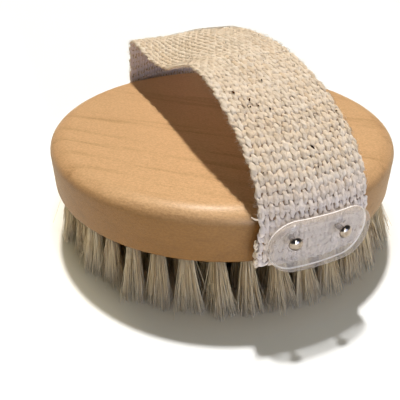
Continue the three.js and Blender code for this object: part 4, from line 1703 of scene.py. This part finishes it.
@dataclass
class Clamps:
    """The clear plates over the strap's ends, and the nails through them."""

    plate_finish: bpy.types.Material
    nail_finish: bpy.types.Material
    strap_radius: float
    wood_bottom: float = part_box("wooden_base")[0].z / MM
    plate_length: float = 34.0
    plate_height: float = 17.0
    plate_thickness: float = 2.4
    plate_steps: int = 96  # round its outline
    bend_step: float = 1.0  # between the cuts that let it bend
    rim: float = 0.7
    back_edge: float = 0.2
    rim_steps: int = 4
    edge_band: float = 0.5  # how far from the back the edge's painted glow reaches
    back_depth: float = 0.01  # of what is still the back
    rim_glow: float = 0.6  # how far in the rim's white fades
    nail_height: float = 11.1
    plate_drop: float = 2.6
    front_plate_shift: float = -1.4
    front_nail_shift: float = -3.6
    nail_spacing: float = 16.2
    head_radius: float = 2.1
    head_height: float = 1.5
    head_rim: float = 0.12
    head_sides: int = 40
    dome_steps: int = 9
    shank_radius: float = 0.85
    nail_length: float = 15.0
    point_length: float = 2.0

    def __post_init__(self) -> None:
        """Works out the radii and angles that follow from the sizes."""
        self.inner_radius = self.strap_radius + CLEARANCE
        self.seat_radius = self.inner_radius + self.plate_thickness + CLEARANCE
        self.nail_z = self.wood_bottom + self.nail_height
        self.plate_angles = {"front": self.front_plate_shift / self.seat_radius, "rear": math.pi}
        self.nail_middles = {"front": self.front_nail_shift / self.seat_radius, "rear": math.pi}
        self.nail_angle = self.nail_spacing / 2 / self.seat_radius

    @property
    def half_straight(self) -> float:
        """Half the length of a plate's straight edges."""
        return (self.plate_length - self.plate_height) / 2

    def nail_places(self) -> dict[str, float]:
        """Works out where the nails are.

        Returns:
            The angle about Z from the front of each nail, by its name.
        """
        front, rear = self.nail_middles["front"], self.nail_middles["rear"]
        return {"front_left": front - self.nail_angle, "front_right": front + self.nail_angle,
                "rear_right": rear - self.nail_angle, "rear_left": rear + self.nail_angle}

    def cutters(self, angles: Sequence[float], inner: float, outer: float) -> list[Piece]:
        """Makes rods that cut the nails' holes.

        Args:
            angles: of the nails, about Z from the front.
            inner: the radius where the rods start.
            outer: the radius where they end.

        Returns:
            The rods.
        """
        middle, length = (inner + outer) / 2, outer - inner
        return [rod("drill", self.shank_radius + CLEARANCE / 2, length,
                    outwards(angle, middle, self.nail_z)) for angle in angles]

    def wood_cutters(self) -> list[Piece]:
        """Rods where the nails go into the wood."""
        tip = self.seat_radius - self.nail_length - CLEARANCE
        return self.cutters(list(self.nail_places().values()), tip, self.strap_radius)

    def build(self) -> None:
        """Builds and dresses the plates and nails."""
        plate = self._plate()
        for side, angle in self.plate_angles.items():
            piece = copy_of(plate, f"{side}_plate", Matrix.Rotation(angle, 4, "Z"))
            middle = self.nail_middles[side]
            cut_away(piece, joined("drill", self.cutters(
                [middle - self.nail_angle, middle + self.nail_angle],
                self.strap_radius, self.seat_radius + 1)))
            dress(piece, self.plate_finish, Slot.CLEAR, f"{side}_clamp_plate")
        bpy.data.objects.remove(plate)
        nail = self._nail()
        for name, angle in self.nail_places().items():
            place = outwards(angle, self.seat_radius, self.nail_z)
            piece = copy_of(nail, f"{name}_pin", place)
            dress(piece, self.nail_finish, Slot.NICKEL, f"{name}_nail")
        bpy.data.objects.remove(nail)

    def _plate(self) -> Piece:
        """Builds a round-ended plate with rounded rims, bent to the strap at the front.

        Returns:
            The plate.
        """
        bpy.ops.mesh.primitive_circle_add(
            vertices=self.plate_steps, radius=self.plate_height / 2 * MM, fill_type="NGON",
            rotation=(math.pi / 2, 0, 0))
        plate = added("plate")
        with editing(plate) as mesh:
            for side in (-1, 1):
                pick(mesh, "VERT", lambda place: place.x * side > NEAR)
                bpy.ops.transform.translate(**moved(side * self.half_straight, 0, 0))
            bpy.ops.mesh.select_all(action="SELECT")
            bpy.ops.mesh.extrude_region_move(
                TRANSFORM_OT_translate=moved(0, -self.plate_thickness, 0))
            bpy.ops.mesh.select_all(action="SELECT")
            bpy.ops.mesh.normals_make_consistent(inside=False)
        for depth, size in ((self.plate_thickness, self.rim), (0, self.back_edge)):
            with editing(plate) as mesh:
                pick(mesh, "EDGE", lambda place: abs(place.y + depth) < NEAR)
                bpy.ops.mesh.bevel(offset=size * MM, segments=self.rim_steps, profile=0.5, affect="EDGES")
            with editing(plate) as mesh:
                pick(mesh, "FACE", lambda place: abs(place.y + depth) < NEAR)
                bpy.ops.mesh.inset(thickness=self.rim_glow * MM)
        with editing(plate):
            bpy.ops.mesh.select_all(action="SELECT")
            bpy.ops.mesh.bisect(plane_co=(0, -self.edge_band * MM, 0), plane_no=(0, 1, 0))
        self._mark_rim(plate)
        half = self.plate_length / 2
        with editing(plate):
            for place in np.arange(self.bend_step / 2 - half, half, self.bend_step):
                bpy.ops.mesh.select_all(action="SELECT")
                bpy.ops.mesh.bisect(plane_co=(place * MM, 0, 0), plane_no=(1, 0, 0))
        apply_modifier(plate, "SIMPLE_DEFORM", deform_method="BEND", deform_axis="Z",
                       angle=self.plate_length / self.inner_radius)
        settle(plate, Matrix.Translation(
            (0, -self.inner_radius * MM, (self.nail_z - self.plate_drop) * MM)))
        smooth(plate, 30)
        return plate

    def _mark_rim(self, plate: Piece) -> None:
        """Marks the rim, 0 on the flat faces and 1 round them, and the narrow band of the back edge, which
        carries a painted glow.

        Args:
            plate: the plate, not yet bent.
        """
        flat = self.plate_height / 2 - self.rim - self.rim_glow / 2
        held = plate.data.attributes.new("rim", "FLOAT", "POINT")
        for corner, mark in zip(plate.data.vertices, held.data):
            along, depth, up = abs(corner.co.x / MM) - self.half_straight, -corner.co.y / MM, corner.co.z / MM
            on_face = min(abs(depth), abs(depth - self.plate_thickness)) < NEAR
            mark.value = 0.0 if on_face and math.hypot(max(along, 0), up) < flat else 1.0
        held = plate.data.attributes.new("edge", "FLOAT", "FACE")
        for face, mark in zip(plate.data.polygons, held.data):
            mark.value = 1.0 if self.back_depth < -face.center.y / MM < self.edge_band else 0.0

    def _nail(self) -> Piece:
        """Builds a dome-headed nail along Z, with the underside of its head at the origin.

        Returns:
            The nail.
        """
        bpy.ops.mesh.primitive_cone_add(
            vertices=self.head_sides, radius1=0, radius2=self.shank_radius * MM,
            depth=self.point_length * MM,
            location=(0, 0, (self.point_length / 2 - self.nail_length) * MM))
        nail = added("nail")
        dome = self.head_height - self.head_rim
        turns = [step / self.dome_steps * math.pi / 2 for step in range(1, self.dome_steps)]
        rings = [(self.shank_radius, 0.0), (self.head_radius - self.head_rim, 0.0),
                 (self.head_radius, self.head_rim)]
        rings += [(self.head_radius * math.cos(turn), self.head_rim + dome * math.sin(turn))
                  for turn in turns]
        radius, height = self.shank_radius, self.point_length - self.nail_length
        with editing(nail) as mesh:
            pick(mesh, "FACE", lambda place: abs(place.z - height) < NEAR)
            for next_radius, next_height in rings:
                bpy.ops.mesh.extrude_region_move(
                    TRANSFORM_OT_translate=moved(0, 0, next_height - height))
                share = next_radius / radius
                bpy.ops.transform.resize(value=(share, share, 1), center_override=(
                    0, 0, next_height * MM))
                radius, height = next_radius, next_height
            bpy.ops.mesh.poke()
            bpy.ops.mesh.select_all(action="SELECT")
            bpy.ops.mesh.remove_doubles(threshold=NEAR * MM)
            bpy.ops.mesh.normals_make_consistent(inside=False)
        smooth(nail, 40)
        return nail


# ---- Stage ----


@dataclass
class Studio:
    """A pale floor, a key lamp high behind the brush, a cool fill, a plain sky and the camera."""

    lamp_from: Triple = (3.42, 10.27, 31.0)
    lamp_strength: float = 3.3
    lamp_softness: float = math.radians(3.4)
    lamp_colour: Triple = (1.0, 0.935, 0.865)
    fill_turn: float = math.radians(6)
    fill_rise: float = math.radians(7)
    fill_distance: float = 0.6
    fill_power: float = 1.4
    fill_size: float = 0.35
    fill_colour: Triple = (0.52, 0.65, 1.0)
    window_turn: float = math.radians(-8)
    window_rise: float = math.radians(22)
    window_distance: float = 0.35
    window_size: tuple[float, float] = (0.085, 0.34)
    window_power: float = 0.4
    sky: Colour = (1.0, 0.875, 0.55, 1.0)
    sky_strength: float = 0.18
    left_sky: float = 0.62  # its strength at the left, as a share of that
    shine: float = 0.2  # of the sky's edge, where a shiny piece reflects it
    ceiling: float = 0.03  # the same overhead
    ceiling_edge: tuple[float, float] = (0.06, 0.42)  # where it starts, from 0 level to 1 straight up
    sky_edge: tuple[float, float] = (-0.8, 0.1)  # where its left ends, from -1 at the left to 1
    floor: Colour = (0.88, 0.94, 1.0, 1.0)
    under: Colour = (0.8, 0.72, 0.58, 1.0)  # painted shade on the floor among the bristles
    bounce: Colour = (0.89, 0.87, 0.8, 1.0)  # what the floor throws back at the brush
    painted_floor_glow: Triple = (0.38, 0.33, 0.21)  # a painted glow that only the camera sees round the brush, which lifts the floor and its shadow
    painted_glow_right: float = 0.2  # of that painted glow at the right, as a share of what it is at the left
    left_edge: tuple[float, float] = (-0.08, -0.045)  # where the left, with more of the painted glow, ends, in metres along X
    under_edge: tuple[float, float] = (0.055, 0.079)  # the radii where that painted shade ends
    azimuth: float = math.radians(-24.57)
    elevation: float = math.radians(31.7)
    distance: float = 204.6
    aim: Triple = (-5.9, 0.0, 8.5)
    focal_pixels: float = 487.4
    centre_pixels: tuple[float, float] = (207.25, 191.58)  # of the lens, in the photograph
    frame_pixels: int = 400
    sensor: float = 36.0

    def build(self) -> None:
        """Sets up the floor, light, sky and camera."""
        bpy.context.scene.view_settings.view_transform = "Standard"
        self._floor()
        self._key()
        self._fill()
        self._window()
        self._sky()
        self._camera()

    def _floor(self) -> None:
        """A floor that goes white where it is lit and keeps the brush's shadow. A painted glow that only the
        camera sees lifts it round the brush, more at the left, and painted shade darkens it among the
        bristles.
        """
        bpy.ops.object.select_all(action="DESELECT")
        bpy.ops.mesh.primitive_plane_add(size=6.0)
        floor = added("floor")
        g = Graph("floor")
        seen = g.add("ShaderNodeLightPath", outlet="Is Camera Ray")
        x, y = (g.axis(g.place(), axis) for axis in "XY")
        outside = ((x * x + y * y) ** 0.5).between(*self.under_edge)
        # painted shade on the floor among the bristles, seen by the camera
        tint = g.mix(seen, self.bounce, g.mix(outside, self.under, self.floor))
        # painted glow that only the camera sees, stronger at the left
        left = 1 - x.between(*self.left_edge)
        share = left * (1 - self.painted_glow_right) + self.painted_glow_right
        lift = g.mix(seen * outside * share, (0, 0, 0, 1), (*self.painted_floor_glow, 1))
        floor.data.materials.append(g.finished(g.surface({
            "Base Color": tint, "Roughness": 0.9, "Specular IOR Level": 0.0,
            "Emission Color": lift, "Emission Strength": 1.0})))

    def _lamp(self, name: str, kind: str, power: float, tint: Triple,
              towards: Vector, in_gloss_only: bool = False) -> bpy.types.Light:
        """Adds a lamp that shines at the brush from a place.

        Args:
            name: of the lamp.
            kind: SUN or AREA.
            power: its strength.
            tint: its colour.
            towards: where it stands, in metres.
            in_gloss_only: whether it only shows as a reflection.

        Returns:
            The lamp.
        """
        lamp = bpy.data.lights.new(name, kind)
        lamp.energy, lamp.color = power, tint
        holder = bpy.data.objects.new(name, lamp)
        holder.location = towards
        holder.rotation_euler = towards.to_track_quat("Z", "Y").to_euler()
        holder.visible_diffuse = not in_gloss_only
        bpy.context.scene.collection.objects.link(holder)
        return lamp

    def _key(self) -> None:
        """The key light."""
        lamp = self._lamp("key", "SUN", self.lamp_strength, self.lamp_colour, Vector(self.lamp_from))
        lamp.angle = self.lamp_softness

    def _low(self, turn: float, rise: float, distance: float) -> Vector:
        """A place in front of the brush, turned to the right and raised by these angles."""
        return distance * Vector((math.sin(turn) * math.cos(rise), -math.cos(turn) * math.cos(rise),
                                  math.sin(rise)))

    def _fill(self) -> None:
        """A cool, low fill from the camera's side."""
        lamp = self._lamp("fill", "AREA", self.fill_power, self.fill_colour,
                          self._low(self.fill_turn, self.fill_rise, self.fill_distance))
        lamp.shape, lamp.size = "SQUARE", self.fill_size

    def _window(self) -> None:
        """A tall, narrow window at the front, which only glints in the nails and plates."""
        lamp = self._lamp("window", "AREA", self.window_power, (1.0, 1.0, 1.0),
                          self._low(self.window_turn, self.window_rise, self.window_distance),
                          in_gloss_only=True)
        lamp.shape = "RECTANGLE"
        lamp.size, lamp.size_y = self.window_size

    def _sky(self) -> None:
        """A plain sky for fill. Where it is seen or reflected it is white, and dimmer overhead."""
        g = Graph("sky", Shading.WORLD)
        seen, glossy, through = (g.add("ShaderNodeLightPath", outlet=name) for name in (
            "Is Camera Ray", "Is Glossy Ray", "Is Transmission Ray"))
        towards = g.add("ShaderNodeTexCoord", outlet="Generated")
        overhead = g.axis(towards, "Z").between(*self.ceiling_edge)
        right = g.axis(towards, "X").between(*self.sky_edge)
        level = seen.maths("MAXIMUM", seen, self.shine - overhead * (self.shine - self.ceiling))
        shown = g.add("ShaderNodeBackground", sockets={"Strength": level, "Color": (1, 1, 1, 1)})
        fill = g.add("ShaderNodeBackground", sockets={
            "Strength": (right * (1 - self.left_sky) + self.left_sky) * self.sky_strength,
            "Color": self.sky})
        either = seen.maths("MAXIMUM", seen.maths("MAXIMUM", seen, glossy), through)
        mixed = g.add("ShaderNodeMixShader", sockets={0: either, 1: fill, 2: shown})
        bpy.context.scene.world = g.finished(mixed)

    def _camera(self) -> None:
        """The photograph's camera: its place, lens and shift."""
        lens = bpy.data.cameras.new("camera")
        lens.sensor_width = self.sensor
        lens.lens = self.focal_pixels * self.sensor / self.frame_pixels
        lens.shift_x = (self.frame_pixels / 2 - self.centre_pixels[0]) / self.frame_pixels
        lens.shift_y = (self.centre_pixels[1] - self.frame_pixels / 2) / self.frame_pixels
        lens.clip_start, lens.clip_end = 0.01, 20.0
        back = Vector((math.sin(self.azimuth) * math.cos(self.elevation),
                       -math.cos(self.azimuth) * math.cos(self.elevation), math.sin(self.elevation)))
        camera = bpy.data.objects.new("camera", lens)
        camera.location = (Vector(self.aim) + back * self.distance) * MM
        camera.rotation_euler = back.to_track_quat("Z", "Y").to_euler()
        bpy.context.scene.collection.objects.link(camera)
        bpy.context.scene.camera = camera


def main() -> None:
    """Builds the brush and its stage in order."""
    logging.basicConfig(level=logging.INFO, format="%(message)s")
    Studio().build()
    yarn = CottonYarn().material()
    # the core's darker colour is painted shade in the weave's gaps
    core = CottonYarn("cotton_core", pale=colour(204, 188, 172), warm=colour(146, 118, 92)).material()
    rows = TuftRows()
    strap = Strap(finish=yarn, core_finish=core, husk_finish=SeedHusk().material())
    clamps = Clamps(ClearPlastic().material(), PolishedNickel().material(), strap.outer_radius)
    WoodenBase(SatinWood().material(), rows).build(clamps.wood_cutters())
    Bristles(NaturalBristle().material(), rows).build()
    strap.build()
    clamps.build()


if __name__ == "__main__":
    main()
